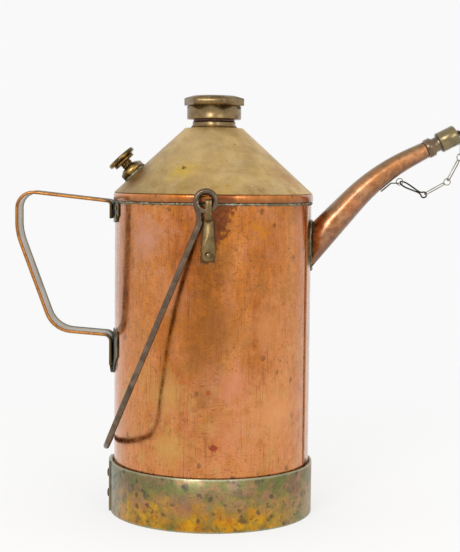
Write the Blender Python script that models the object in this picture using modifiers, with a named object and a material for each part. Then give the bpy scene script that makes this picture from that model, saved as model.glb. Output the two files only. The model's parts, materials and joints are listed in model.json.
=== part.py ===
"""An old copper and brass oil can of about one gallon, with a wire bail, a strip handle,
a screw filler cap, a vent screw and a long spout closed by a cap on a chain.

Metres, +Z up. The origin is on the body's axis, in the plane that the can stands on.
The spout points along +X, the handle is at -X, and the bail's lugs are at -Y and +Y.
"""

from math import asin, atan2, cos, hypot, pi, radians, sin, tan

import bmesh
import bpy
from mathutils import Matrix, Vector

# Fits
FIT_GAP = 0.0003  # between two pieces that touch on the real can
CUT_OVERRUN = 0.004  # how far a cutter runs past what it cuts
UNION_SINK = 0.0005  # how deep a joined shape is set into its carrier
MERGE = 0.00001

# Smoothness of round pieces
LARGE_STEPS = 64
MIDDLE_STEPS = 36
SMALL_STEPS = 24
FINE_STEPS = 12
THREAD_STEPS = 16  # points in one turn of the filler's thread
FINE_THREAD_STEPS = 12
BAND_STEPS = 12  # points across a short arc of the body's side
SHARP_ANGLE = radians(40)

# Body
BODY_RADIUS = 0.075
BODY_TOP = 0.238
SHEET_WALL = 0.0012
SEAM_ANGLE = radians(-19)
SEAM_WIDTH = 0.007
SEAM_STEP = 0.0006

# Base ring and bottom plate
RING_GAP = 0.0013  # dark gap between the ring and the body
RING_WALL = 0.0015
RING_HEIGHT = 0.0396
RING_HEM = 0.0015
RING_EDGE = 0.0004
LAP_STEP = 0.0012
LAP_START = radians(172)
LAP_END = radians(190)
PAN_FLANGE = 0.008

# Rivets of the base ring
RING_RIVET_HEAD = 0.0035
RING_RIVET_DOME = 0.0012
RING_RIVET_SHANK = 0.0016
RING_RIVET_TAIL = 0.003
RING_RIVET_TAIL_HEIGHT = 0.0006
RING_RIVET_HEIGHTS = (0.0116, 0.0274)

# Shoulder ring
SHOULDER_HEIGHT = 0.0058
SHOULDER_BULGE = 0.0012  # how far the band stands out from the body
SHOULDER_EDGE = 0.0008
SPIGOT_DEPTH = 0.0035

# Shoulder cone
CONE_HEIGHT = 0.0491
CONE_TOP_RADIUS = 0.022
CONE_FOOT_STEP = 0.0007  # how far the cone's foot stands out from the body's radius
CONE_RIM = 0.0002

# Filler neck
NECK_HOLE = 0.014
NECK_SPIGOT = 0.008
NECK_FOOT_RADIUS = 0.0179
NECK_WAIST_RADIUS = 0.0162
NECK_WAIST_RISE = 0.0025
NECK_BEAD_RADIUS = 0.0165
NECK_BEAD_RISE = 0.0036
NECK_SHOULDER_RADIUS = 0.016
NECK_SHOULDER_RISE = 0.0047
NECK_CORE = 0.0119
NECK_BORE = 0.0109
NECK_THREAD_LENGTH = 0.0122
NECK_EDGE = 0.0005

# Filler cap
CAP_PITCH = 0.003
CAP_MALE_TURNS = 2.5
CAP_FEMALE_TURNS = 1.5
CAP_RIDGE = 0.0009
CAP_BORE = 0.0132
CAP_SEAL_WALL = 0.001
CAP_SEAL_RADIUS = 0.0156
CAP_SKIRT_RADIUS = 0.0206
CAP_SKIRT_HEIGHT = 0.0098
CAP_GROOVE = 0.0008
CAP_FLANGE_RADIUS = 0.0229
CAP_ACROSS_FLATS = 0.0412
CAP_FLANGE_HEIGHT = 0.0052
CAP_CROWN_HEIGHT = 0.002
CAP_CROWN_RADIUS = 0.0164
CAP_ROOF = 0.0052
CAP_TURN = radians(22.5)
CAP_EDGE = 0.0005

# Vent
VENT_FROM_RIM = 0.015  # from the body's radius in to where the vent's axis meets the cone
VENT_HOLE = 0.0068
VENT_SPIGOT = 0.0045
VENT_ACROSS_CORNERS = 0.0192
VENT_BOSS_HEIGHT = 0.0071
VENT_BOSS_SHOULDER = 0.0046
VENT_BOSS_TOP = 0.0062
VENT_PITCH = 0.0015
VENT_RIDGE = 0.0005
VENT_CORE = 0.0042
VENT_BORE = 0.0051
VENT_FEMALE_TURNS = 1.5
VENT_STEM_GAP = 0.0043  # stem that shows between the boss and the knob at rest
VENT_DISC_RADIUS = 0.0088
VENT_DISC_HEIGHT = 0.0021
VENT_NOTCH_RADIUS = 0.0081
VENT_NOTCH_HEIGHT = 0.0005
VENT_KNOB_RADIUS = 0.0115
VENT_KNOB_HEIGHT = 0.003
VENT_KNOB_EDGE = 0.0004
VENT_STEM_TAIL = 0.0018  # from the boss down to the washer at rest
VENT_WASHER_RADIUS = 0.0066
VENT_WASHER_HEIGHT = 0.0016
VENT_TIP_RADIUS = 0.002
VENT_TIP_HEAD = 0.0034
VENT_TIP_HEIGHT = 0.001

# Bail and its lugs
BAIL_WIRE = 0.0023
BAIL_X = -0.0022
BAIL_RISE = 0.0018  # pivot above the body's top
BAIL_CLEAR = 0.0054  # from the body's side to the middle of each arm
BAIL_EYE = 0.0069
BAIL_EYE_OFFSET = 0.0021
BAIL_SHANK = 0.0175  # where the arm's jog ends, from the pivot
BAIL_ABOVE_RING = 0.0158  # from the base ring's top to the crossbar at rest
BAIL_BOW = 0.0092
BAIL_CORNER = 0.02
LUG_WALL = 0.0018
LUG_BOTTOM_DROP = 0.0414
LUG_BOTTOM_WIDTH = 0.0097
LUG_NECK_WIDTH = 0.0062
LUG_NECK_DROP = 0.013
LOOP_WIDTH = 0.0043
LOOP_WALL = 0.0026
LOOP_DEPTH = 0.012  # from the pivot down to the inside of the loop
LOOP_ROUND = 0.0022
LOOP_EDGE = 0.0005
LUG_RIVET_RISE = 0.0044  # above the plate's lower end
LUG_RIVET_HEAD = 0.0021
LUG_RIVET_DOME = 0.0009
LUG_RIVET_SHANK = 0.0013
LUG_RIVET_TAIL = 0.0022
LUG_RIVET_TAIL_HEIGHT = 0.0007

# Handle
HANDLE_BEAD = 0.00125
HANDLE_HALF_WIDTH = 0.013
HANDLE_WEB = 0.0014
HANDLE_TOP_DROP = 0.0004  # top corner at the body, below the body's top
HANDLE_TOP_TONGUE = 0.0129
HANDLE_TOP_RADIUS = 0.003
HANDLE_OUT = 0.0734  # from the body's surface to the strip's outermost part
HANDLE_OUT_RISE = 0.0072
HANDLE_OUT_RADIUS = 0.012
HANDLE_BACK_DROP = 0.0245  # where the outermost part turns inwards, below the body's top
HANDLE_BACK_RADIUS = 0.045
HANDLE_ELBOW = 0.0461
HANDLE_ELBOW_DROP = 0.0986
HANDLE_ELBOW_RADIUS = 0.021
HANDLE_LOW_DROP = 0.1021
HANDLE_LOW_RADIUS = 0.005
HANDLE_LOW_TONGUE = 0.0304
HANDLE_ARC_STEPS = 7

# Handle feet
FOOT_WALL = 0.0008
FOOT_TOP_HALF_ANGLE = radians(22)
FOOT_TOP_HEIGHT = 0.0157
FOOT_LOW_HALF_ANGLE = radians(20.5)
FOOT_LOW_RISE = 0.004
FOOT_LOW_SIDE = 0.016
FOOT_LOW_HEIGHT = 0.034
FOOT_LOW_POINT = 0.0045  # half the width of the blunt lower end
HANDLE_RIVET_ANGLE = radians(18)
HANDLE_RIVET_DROPS = (0.005, 0.0114)
HANDLE_RIVET_HEAD = 0.0017
HANDLE_RIVET_DOME = 0.0007
HANDLE_RIVET_SHANK = 0.001
HANDLE_RIVET_TAIL = 0.0016
HANDLE_RIVET_TAIL_HEIGHT = 0.0006

# Spout
SPOUT_ROOT_DROP = 0.03255
SPOUT_HEADING = radians(47.36)
SPOUT_STRAIGHT = 0.047
SPOUT_BEND = 0.1556
SPOUT_TIP_HEADING = radians(27.3)
SPOUT_LAST_RUN = 0.0133
SPOUT_ROOT_RADIUS = 0.01185
SPOUT_TIP_RADIUS = 0.00645
SPOUT_POINTS = 9
SPOUT_REACH_IN = 0.002  # how far the tube stands in from the body's outer face

# Spout collar
COLLAR_RADIUS = 0.0074
COLLAR_HEIGHT = 0.0053
COLLAR_EDGE = 0.0004
COLLAR_CHAMFER = 0.0016
COLLAR_BORE = 0.004
COLLAR_SPIGOT = 0.008
TIP_PITCH = 0.0015
TIP_TURNS = 3
TIP_FEMALE_TURNS = 1.5
TIP_RIDGE = 0.0005
TIP_CORE = 0.0057
TIP_REST_GAP = 0.004  # from the collar's chamfer to the cap's rim at rest

# Spout cap
TIP_CAP_RADIUS = 0.00785
TIP_CAP_LENGTH = 0.0155
TIP_CAP_BORE = 0.0066
TIP_CAP_EDGE = 0.0015
TIP_CAP_ROOF = 0.0035
TIP_SEAL_WALL = 0.001
TIP_STUD_RADIUS = 0.0026
TIP_STUD_FOOT = 0.0022
TIP_WAIST_RADIUS = 0.0014
TIP_WAIST_LENGTH = 0.004
TIP_BUTTON_HEIGHT = 0.0014

# Chain
CHAIN_WIRE = 0.00045
LINK_HALF_WIDTH = 0.00145
LINK_REACH = 0.0013  # how far a link's loop reaches past the wire that it hangs on
LINK_TILT = radians(60)
LINK_EYES = (0.0021, 0.0025, 0.0026)
LINK_EYE_SHARES = ((0.27, -0.325), (0.675, -0.275))  # along and across the chain's span
CHAIN_RING_RADIUS = 0.0026
CHAIN_RING_WIRE = 0.0004
CHAIN_RING_HEADING = radians(25)
ANCHOR_WALL = 0.0009
ANCHOR_WIDTH = 0.0044
ANCHOR_HOLE = 0.0011
ANCHOR_FROM_TIP = 0.0469  # along the spout, from its tip to the strip's foot
ANCHOR_FOOT = 0.0105
ANCHOR_REACH = 0.0042
ANCHOR_END = 0.002
SWIVEL_WIRE = 0.0007
SWIVEL_HALF_WIDTH = 0.0034
SWIVEL_DROP = 0.0191  # from the stud's axis to the middle of the loop's lower wire
SWIVEL_PULL = 0.0009  # from the last eye's centre to that wire

PARTS = "oil_can"
HELPERS = "cutters_and_guides"


# Scene and materials

def start_scene():
    for item in list(bpy.data.objects):
        bpy.data.objects.remove(item, do_unlink=True)
    for name in (PARTS, HELPERS):
        group = bpy.data.collections.new(name)
        bpy.context.scene.collection.children.link(group)
    bpy.data.collections[HELPERS].hide_render = True


def metal(name, colour, metallic, roughness):
    material = bpy.data.materials.new(name)
    material.use_nodes = True
    shader = material.node_tree.nodes["Principled BSDF"]
    shader.inputs["Base Color"].default_value = (*colour, 1)
    shader.inputs["Metallic"].default_value = metallic
    shader.inputs["Roughness"].default_value = roughness
    material.diffuse_color = (*colour, 1)
    return material


def make_materials():
    return {
        "copper": metal("aged_copper", (0.50, 0.17, 0.06), 1, 0.35),
        "ring": metal("stained_brass", (0.28, 0.24, 0.09), 1, 0.4),
        "cone": metal("dull_brass", (0.45, 0.31, 0.11), 1, 0.5),
        "brass": metal("turned_brass", (0.30, 0.20, 0.08), 1, 0.35),
        "dark": metal("darkened_brass", (0.12, 0.06, 0.03), 1, 0.4),
        "solder": metal("soldered_brass", (0.30, 0.28, 0.16), 1, 0.55),
        "steel": metal("brown_steel_wire", (0.16, 0.12, 0.09), 1, 0.4),
        "strip": metal("tinned_copper_strip", (0.42, 0.30, 0.25), 1, 0.4),
        "wire": metal("chain_wire", (0.14, 0.12, 0.10), 1, 0.4),
        "leather": metal("leather_washer", (0.18, 0.05, 0.03), 0, 0.7),
    }


# Shapes

def add_mesh(name, mesh, material, matrix=None, helper=False):
    piece = bpy.data.objects.new(name, mesh)
    if material is not None:
        mesh.materials.append(material)
    if matrix is not None:
        piece.matrix_world = matrix
    bpy.data.collections[HELPERS if helper else PARTS].objects.link(piece)
    if helper:
        hide(piece)
    return piece


def hide(piece):
    """Makes the piece a helper that a render leaves out."""
    piece.hide_render = True
    piece.display_type = "WIRE"
    for group in list(piece.users_collection):
        group.objects.unlink(piece)
    bpy.data.collections[HELPERS].objects.link(piece)


def turned(name, outline, steps, material, matrix=None, helper=False):
    """A turned piece. The outline, in (radius, height), runs down its outer side."""
    mesh = bpy.data.meshes.new(name)
    count = len(outline)
    closed = outline[0][0] > 0
    edges = [(i, (i + 1) % count) for i in range(count if closed else count - 1)]
    mesh.from_pydata([(r, 0, z) for r, z in outline], edges, [])
    piece = add_mesh(name, mesh, material, matrix, helper)
    screw = piece.modifiers.new("turn", "SCREW")
    screw.axis = "Z"
    screw.steps = steps
    screw.render_steps = steps
    screw.use_merge_vertices = True
    screw.merge_threshold = MERGE
    return piece


def flat_piece(name, loops, half_thickness, material, matrix=None, helper=False):
    """A flat outline, with holes as further loops, given its thickness both ways."""
    curve = bpy.data.curves.new(name, "CURVE")
    curve.dimensions = "2D"
    curve.fill_mode = "BOTH"
    curve.extrude = half_thickness
    for loop in loops:
        spline = curve.splines.new("POLY")
        spline.points.add(len(loop) - 1)
        for point, (a, b) in zip(spline.points, loop):
            point.co = (a, b, 0, 1)
        spline.use_cyclic_u = True
    return mesh_of_curve(name, curve, material, matrix, helper)


def wire(name, points, radius, material, closed=False, sides=2, radii=None, matrix=None,
         helper=False, twist="MINIMUM"):
    """A round wire or rod along the points. Radii, if given, are shares of its radius."""
    curve = bpy.data.curves.new(name, "CURVE")
    curve.dimensions = "3D"
    curve.bevel_depth = radius
    curve.bevel_resolution = sides
    curve.use_fill_caps = not closed
    curve.twist_mode = twist
    spline = curve.splines.new("POLY")
    spline.points.add(len(points) - 1)
    for i, point in enumerate(points):
        spline.points[i].co = (*point, 1)
        spline.points[i].radius = radii[i] if radii else 1
    spline.use_cyclic_u = closed
    return mesh_of_curve(name, curve, material, matrix, helper)


def mesh_of_curve(name, curve, material, matrix, helper):
    source = bpy.data.objects.new(name + "_curve", curve)
    bpy.data.collections[PARTS].objects.link(source)
    graph = bpy.context.evaluated_depsgraph_get()
    mesh = bpy.data.meshes.new_from_object(source.evaluated_get(graph))
    bpy.data.objects.remove(source, do_unlink=True)
    shape = bmesh.new()
    shape.from_mesh(mesh)
    bmesh.ops.remove_doubles(shape, verts=shape.verts, dist=MERGE)
    bmesh.ops.recalc_face_normals(shape, faces=shape.faces)
    shape.to_mesh(mesh)
    shape.free()
    mesh.name = name
    mesh.shade_smooth()
    mesh.set_sharp_from_angle(angle=SHARP_ANGLE)
    return add_mesh(name, mesh, material, matrix, helper)


def combine(piece, other, operation):
    step = piece.modifiers.new(operation.lower() + "_" + other.name, "BOOLEAN")
    step.operation = operation
    step.object = other
    step.solver = "EXACT"
    hide(other)
    return piece


def cut(piece, other):
    return combine(piece, other, "DIFFERENCE")


def join(piece, other):
    return combine(piece, other, "UNION")


def keep(piece, other):
    return combine(piece, other, "INTERSECT")


def rod_cutter(name, radius, start, end, steps=FINE_STEPS):
    """A cylinder from one point to another, as a cutter."""
    start, end = Vector(start), Vector(end)
    shape = bmesh.new()
    bmesh.ops.create_cone(shape, cap_ends=True, segments=steps, radius1=radius,
                          radius2=radius, depth=(end - start).length)
    mesh = bpy.data.meshes.new(name)
    shape.to_mesh(mesh)
    shape.free()
    return add_mesh(name, mesh, None, placed((start + end) / 2, end - start), helper=True)


def prism(name, radius, sides, low, high, turn, matrix=None, helper=True, material=None):
    """An upright prism with a corner at the given turn from +X."""
    shape = bmesh.new()
    bmesh.ops.create_cone(shape, cap_ends=True, segments=sides, radius1=radius,
                          radius2=radius, depth=high - low)
    bmesh.ops.translate(shape, verts=shape.verts, vec=(0, 0, (low + high) / 2))
    bmesh.ops.rotate(shape, verts=shape.verts, cent=(0, 0, 0),
                     matrix=Matrix.Rotation(turn, 3, "Z"))
    mesh = bpy.data.meshes.new(name)
    shape.to_mesh(mesh)
    shape.free()
    return add_mesh(name, mesh, material, matrix, helper)


def placed(point, direction):
    """The matrix that sets local +Z along a direction at a point."""
    turn = Vector(direction).to_track_quat("Z", "Y").to_matrix().to_4x4()
    return Matrix.Translation(point) @ turn


def arc(centre, radius, start, end, steps):
    """Points of an arc about a centre, from one angle to another."""
    turns = [start + (end - start) * i / steps for i in range(steps + 1)]
    return [(centre[0] + radius * cos(t), centre[1] + radius * sin(t)) for t in turns]


def rounded(corners, radii, steps):
    """The path through the corners, each inner one rounded by an arc of its radius."""
    path = [tuple(corners[0])]
    for before, corner, after, radius in zip(corners, corners[1:], corners[2:], radii):
        a = (Vector(before) - Vector(corner)).normalized()
        b = (Vector(after) - Vector(corner)).normalized()
        half = a.angle(b) / 2
        centre = Vector(corner) + (a + b).normalized() * (radius / sin(half))
        first = Vector(corner) + a * (radius / tan(half)) - centre
        last = Vector(corner) + b * (radius / tan(half)) - centre
        start = atan2(first.y, first.x)
        sweep = (atan2(last.y, last.x) - start + pi) % (2 * pi) - pi
        path += arc(centre, radius, start, start + sweep, steps)
    return path + [tuple(corners[-1])]


def thread(name, radius, ridge, pitch, turns, start, matrix=None, steps=FINE_THREAD_STEPS):
    """A ridge wound round local Z, from a height upwards."""
    count = round(turns * steps)
    points = []
    for i in range(count + 1):
        angle = 2 * pi * i / steps
        height = start + pitch * i / steps
        points.append((radius * cos(angle), radius * sin(angle), height))
    return wire(name, points, ridge, None, sides=0, matrix=matrix, helper=True, twist="Z_UP")


def rivet(name, sizes, grip, place, material):
    """A round-headed rivet along local Z, its head's underside at the origin."""
    head, dome, shank, tail, tail_height = sizes
    crown = [(head * cos(t), dome * sin(t)) for t in (radians(90), radians(60), radians(30), 0)]
    outline = [(0, dome)] + crown[1:] + [
        (shank, 0),
        (shank, -grip),
        (tail, -grip),
        (tail, -grip - tail_height),
        (0, -grip - tail_height),
    ]
    return turned(name, outline, FINE_STEPS, material, place)


# Sizes that follow from the ones above

BODY_INNER = BODY_RADIUS - SHEET_WALL
RING_INNER = BODY_RADIUS + RING_GAP
RING_OUTER = RING_INNER + RING_WALL
LAP_OUTER = RING_OUTER + LAP_STEP
BODY_BOTTOM = RING_HEM + FIT_GAP
PAN_RADIUS = BODY_INNER - FIT_GAP
SHOULDER_BOTTOM = BODY_TOP + FIT_GAP
SHOULDER_TOP = SHOULDER_BOTTOM + SHOULDER_HEIGHT
SHOULDER_RADIUS = BODY_RADIUS + SHOULDER_BULGE
SPIGOT_RADIUS = BODY_INNER - FIT_GAP
CONE_SPIGOT = SPIGOT_RADIUS - SHEET_WALL - FIT_GAP
CONE_BOTTOM = SHOULDER_TOP + FIT_GAP
CONE_FOOT = BODY_RADIUS + CONE_FOOT_STEP
CONE_LOW = CONE_BOTTOM + CONE_RIM
CONE_TOP = CONE_LOW + CONE_HEIGHT
CONE_SLOPE = atan2(CONE_HEIGHT, CONE_FOOT - CONE_TOP_RADIUS)
CONE_WALL_RISE = SHEET_WALL / cos(CONE_SLOPE)
VENT_FOOT_RADIUS = BODY_RADIUS - VENT_FROM_RIM
NECK_FOOT = CONE_TOP + FIT_GAP
NECK_SHOULDER = NECK_FOOT + NECK_SHOULDER_RISE
NECK_TOP = NECK_SHOULDER + NECK_THREAD_LENGTH
CAP_SEAL_LOW = NECK_SHOULDER + FIT_GAP
CAP_RIM = CAP_SEAL_LOW + CAP_SEAL_WALL + FIT_GAP
CAP_FLANGE_LOW = CAP_RIM + CAP_SKIRT_HEIGHT + CAP_GROOVE
CAP_FLANGE_TOP = CAP_FLANGE_LOW + CAP_FLANGE_HEIGHT
CAP_THREAD_LOW = NECK_SHOULDER + CAP_PITCH / 2
CAP_TOP = CAP_FLANGE_TOP + CAP_CROWN_HEIGHT
PIVOT = Vector((BAIL_X, 0, BODY_TOP + BAIL_RISE))
BAIL_SPREAD = BODY_RADIUS + BAIL_CLEAR
BAIL_BACK = BODY_RADIUS + BAIL_WIRE + FIT_GAP + BAIL_X
BAIL_DROP = PIVOT.z - RING_HEIGHT - BAIL_ABOVE_RING
BAIL_LEAN = atan2(BAIL_BACK, BAIL_DROP)
BAIL_LENGTH = hypot(BAIL_BACK, BAIL_DROP) - BAIL_BOW
BAIL_PLACE = Matrix.Translation(PIVOT) @ Matrix.Rotation(BAIL_LEAN, 4, "Y")
LUG_BACK = BODY_RADIUS + FIT_GAP
LUG_BOTTOM = BODY_TOP - LUG_BOTTOM_DROP
LUG_NECK = BODY_TOP - LUG_NECK_DROP
FOOT_RADIUS = BODY_RADIUS + FIT_GAP
FOOT_OUTER = FOOT_RADIUS + FOOT_WALL
FOOT_TOP_HIGH = BODY_TOP - FIT_GAP
FOOT_TOP_LOW = FOOT_TOP_HIGH - FOOT_TOP_HEIGHT
HANDLE_X = -(FOOT_OUTER + FIT_GAP + HANDLE_WEB / 2)
HANDLE_LOW = BODY_TOP - HANDLE_LOW_DROP
FOOT_LOW_HIGH = HANDLE_LOW + FOOT_LOW_RISE
FOOT_LOW_LOW = FOOT_LOW_HIGH - FOOT_LOW_HEIGHT
SPOUT_ROOT = Vector((BODY_RADIUS, 0, BODY_TOP - SPOUT_ROOT_DROP))
SPOUT_INNER_END = BODY_RADIUS - SPOUT_REACH_IN
SPOUT_ARC = SPOUT_BEND * (SPOUT_HEADING - SPOUT_TIP_HEADING)
SPOUT_LENGTH = SPOUT_STRAIGHT + SPOUT_ARC + SPOUT_LAST_RUN


def cone_height(radius):
    """Height of the cone's outer face at a distance from the axis."""
    return CONE_LOW + (CONE_FOOT - radius) * tan(CONE_SLOPE)


def cone_face(radius):
    """A point on the cone's outer face at the back, at a distance from the axis."""
    return Vector((-radius, 0, cone_height(radius)))


def spout_point(along):
    """The spout's centreline, from the body outwards: point and heading."""
    turned_length = min(max(along - SPOUT_STRAIGHT, 0), SPOUT_ARC)
    heading = SPOUT_HEADING - turned_length / SPOUT_BEND
    first = min(along, SPOUT_STRAIGHT)
    last = max(along - SPOUT_STRAIGHT - SPOUT_ARC, 0)
    x = first * cos(SPOUT_HEADING) + last * cos(heading)
    z = first * sin(SPOUT_HEADING) + last * sin(heading)
    x += SPOUT_BEND * (sin(SPOUT_HEADING) - sin(heading))
    z += SPOUT_BEND * (cos(heading) - cos(SPOUT_HEADING))
    return SPOUT_ROOT + Vector((x, 0, z)), heading


def spout_radius(along):
    return SPOUT_ROOT_RADIUS + (SPOUT_TIP_RADIUS - SPOUT_ROOT_RADIUS) * along / SPOUT_LENGTH


TIP_POINT, TIP_HEADING = spout_point(SPOUT_LENGTH)
TIP_AXIS = Vector((cos(TIP_HEADING), 0, sin(TIP_HEADING)))
TIP_PLACE = placed(TIP_POINT, TIP_AXIS)
COLLAR_SHOULDER = COLLAR_HEIGHT + COLLAR_CHAMFER
TIP_RIM = COLLAR_SHOULDER + TIP_REST_GAP
TIP_CAP_END = TIP_RIM + TIP_CAP_LENGTH
TIP_CAP_CEILING = TIP_CAP_END - TIP_CAP_ROOF
TIP_SEAL_LOW = TIP_CAP_CEILING - FIT_GAP - TIP_SEAL_WALL
COLLAR_END = TIP_SEAL_LOW - FIT_GAP
VENT_AXIS = Vector((-sin(CONE_SLOPE), 0, cos(CONE_SLOPE)))
VENT_PLACE = placed(cone_face(VENT_FOOT_RADIUS), VENT_AXIS)
VENT_KNOB_LOW = VENT_BOSS_HEIGHT + VENT_STEM_GAP
VENT_WASHER_TOP = -VENT_SPIGOT - VENT_STEM_TAIL
VENT_TIP_TOP = VENT_WASHER_TOP - FIT_GAP - VENT_WASHER_HEIGHT - FIT_GAP

RING_RIVET = (RING_RIVET_HEAD, RING_RIVET_DOME, RING_RIVET_SHANK, RING_RIVET_TAIL,
              RING_RIVET_TAIL_HEIGHT)
LUG_RIVET = (LUG_RIVET_HEAD, LUG_RIVET_DOME, LUG_RIVET_SHANK, LUG_RIVET_TAIL,
             LUG_RIVET_TAIL_HEIGHT)
HANDLE_RIVET = (HANDLE_RIVET_HEAD, HANDLE_RIVET_DOME, HANDLE_RIVET_SHANK,
                HANDLE_RIVET_TAIL, HANDLE_RIVET_TAIL_HEIGHT)

ALONG_X = Matrix(((0, 0, 1, 0), (1, 0, 0, 0), (0, 1, 0, 0), (0, 0, 0, 1)))
ALONG_Y = Matrix(((1, 0, 0, 0), (0, 0, -1, 0), (0, 1, 0, 0), (0, 0, 0, 1)))


# Body, base ring and bottom

def lug_side_points():
    """Where each lug's rivet passes, with the direction outwards."""
    for name, side in (("front", -1), ("back", 1)):
        yield name, Vector((BAIL_X, 0, LUG_BOTTOM + LUG_RIVET_RISE)), Vector((0, side, 0))


def handle_rivet_points():
    """Where each rivet of the handle's top foot passes, with the direction outwards."""
    for drop in HANDLE_RIVET_DROPS:
        for turn in (-HANDLE_RIVET_ANGLE, HANDLE_RIVET_ANGLE):
            outwards = Vector((-cos(turn), sin(turn), 0))
            yield Vector((0, 0, FOOT_TOP_HIGH - drop)), outwards


def rivet_hole(name, point, outwards, shank, start, end):
    """A cutter for a rivet's hole, between two distances from the body's axis."""
    return rod_cutter(name, shank + FIT_GAP, point + outwards * start, point + outwards * end)


def make_body(colours):
    outline = [
        (BODY_RADIUS, BODY_TOP),
        (BODY_RADIUS, BODY_BOTTOM),
        (BODY_INNER, BODY_BOTTOM),
        (BODY_INNER, BODY_TOP),
    ]
    body = turned("body_shell", outline, LARGE_STEPS, colours["copper"])
    half = SEAM_WIDTH / 2
    inner = BODY_RADIUS - UNION_SINK
    outer = BODY_RADIUS + SEAM_STEP
    strip = flat_piece(
        "seam_lap",
        [[(inner, -half), (outer, -half), (BODY_RADIUS, half), (inner, half)]],
        (BODY_TOP - BODY_BOTTOM) / 2 - FIT_GAP,
        None,
        Matrix.Translation((0, 0, (BODY_TOP + BODY_BOTTOM) / 2))
        @ Matrix.Rotation(SEAM_ANGLE, 4, "Z"),
        helper=True,
    )
    join(body, strip)
    cut(body, make_spout_cutter())
    for name, point, outwards in lug_side_points():
        hole = rivet_hole("lug_hole_" + name, point, outwards, LUG_RIVET_SHANK,
                          BODY_INNER - CUT_OVERRUN, BODY_RADIUS + CUT_OVERRUN)
        cut(body, hole)
    for i, (point, outwards) in enumerate(handle_rivet_points(), 1):
        hole = rivet_hole(f"handle_hole_{i}", point, outwards, HANDLE_RIVET_SHANK,
                          BODY_INNER - CUT_OVERRUN, BODY_RADIUS + CUT_OVERRUN)
        cut(body, hole)


def make_base(colours):
    outline = [
        (RING_OUTER - RING_EDGE, RING_HEIGHT),
        (RING_OUTER, RING_HEIGHT - RING_EDGE),
        (RING_OUTER, RING_EDGE),
        (RING_OUTER - RING_EDGE, 0),
        (BODY_INNER, 0),
        (BODY_INNER, RING_HEM),
        (RING_INNER, RING_HEM),
        (RING_INNER, RING_HEIGHT),
    ]
    ring = turned("base_ring", outline, LARGE_STEPS, colours["ring"])
    lap = flat_piece(
        "ring_lap",
        [arc((0, 0), LAP_OUTER, LAP_START, LAP_END, BAND_STEPS)
         + arc((0, 0), RING_OUTER - UNION_SINK, LAP_END, LAP_START, BAND_STEPS)],
        RING_HEIGHT / 2 - RING_EDGE,
        None,
        Matrix.Translation((0, 0, RING_HEIGHT / 2)),
        helper=True,
    )
    join(ring, lap)
    back = Vector((-1, 0, 0))
    for i, height in enumerate(RING_RIVET_HEIGHTS, 1):
        point = Vector((0, 0, height))
        cut(ring, rivet_hole(f"ring_hole_{i}", point, back, RING_RIVET_SHANK,
                             BODY_RADIUS, LAP_OUTER + CUT_OVERRUN))
        head = LAP_OUTER + FIT_GAP
        grip = head - (RING_INNER - FIT_GAP)
        rivet(f"base_ring_rivet_{i}", RING_RIVET, grip, placed(point + back * head, back),
              colours["ring"])
    inner = PAN_RADIUS - SHEET_WALL
    turned("bottom_plate", [
        (0, SHEET_WALL),
        (inner, SHEET_WALL),
        (inner, SHEET_WALL + PAN_FLANGE),
        (PAN_RADIUS, SHEET_WALL + PAN_FLANGE),
        (PAN_RADIUS, 0),
        (0, 0),
    ], LARGE_STEPS, colours["cone"])


# Shoulder

def make_shoulder(colours):
    inner = SPIGOT_RADIUS - SHEET_WALL
    edge = SHOULDER_EDGE
    outline = [
        (SHOULDER_RADIUS - edge, SHOULDER_TOP),
        (SHOULDER_RADIUS - edge / 4, SHOULDER_TOP - edge / 2),
        (SHOULDER_RADIUS, SHOULDER_TOP - 2 * edge),
        (SHOULDER_RADIUS, SHOULDER_BOTTOM + edge),
        (SHOULDER_RADIUS - edge / 2, SHOULDER_BOTTOM),
        (SPIGOT_RADIUS, SHOULDER_BOTTOM),
        (SPIGOT_RADIUS, SHOULDER_BOTTOM - SPIGOT_DEPTH),
        (inner, SHOULDER_BOTTOM - SPIGOT_DEPTH),
        (inner, SHOULDER_TOP),
    ]
    turned("shoulder_ring", outline, LARGE_STEPS, colours["copper"])


def make_cone(colours):
    inner = CONE_SPIGOT - SHEET_WALL
    under = CONE_TOP - SHEET_WALL
    top_inner = CONE_TOP_RADIUS + (CONE_WALL_RISE - SHEET_WALL) / -tan(CONE_SLOPE)
    outline = [
        (CONE_TOP_RADIUS, CONE_TOP),
        (CONE_FOOT, CONE_LOW),
        (CONE_FOOT, CONE_BOTTOM),
        (CONE_SPIGOT, CONE_BOTTOM),
        (CONE_SPIGOT, CONE_BOTTOM - SPIGOT_DEPTH),
        (inner, CONE_BOTTOM - SPIGOT_DEPTH),
        (inner, cone_height(inner) - CONE_WALL_RISE),
        (top_inner, under),
        (NECK_HOLE, under),
        (NECK_HOLE, CONE_TOP),
    ]
    cone = turned("shoulder_cone", outline, LARGE_STEPS, colours["cone"])
    foot = cone_face(VENT_FOOT_RADIUS)
    reach = SHEET_WALL + CUT_OVERRUN
    cut(cone, rod_cutter("vent_hole", VENT_HOLE, foot - VENT_AXIS * reach,
                         foot + VENT_AXIS * CUT_OVERRUN, SMALL_STEPS))


# Filler neck and cap

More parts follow.
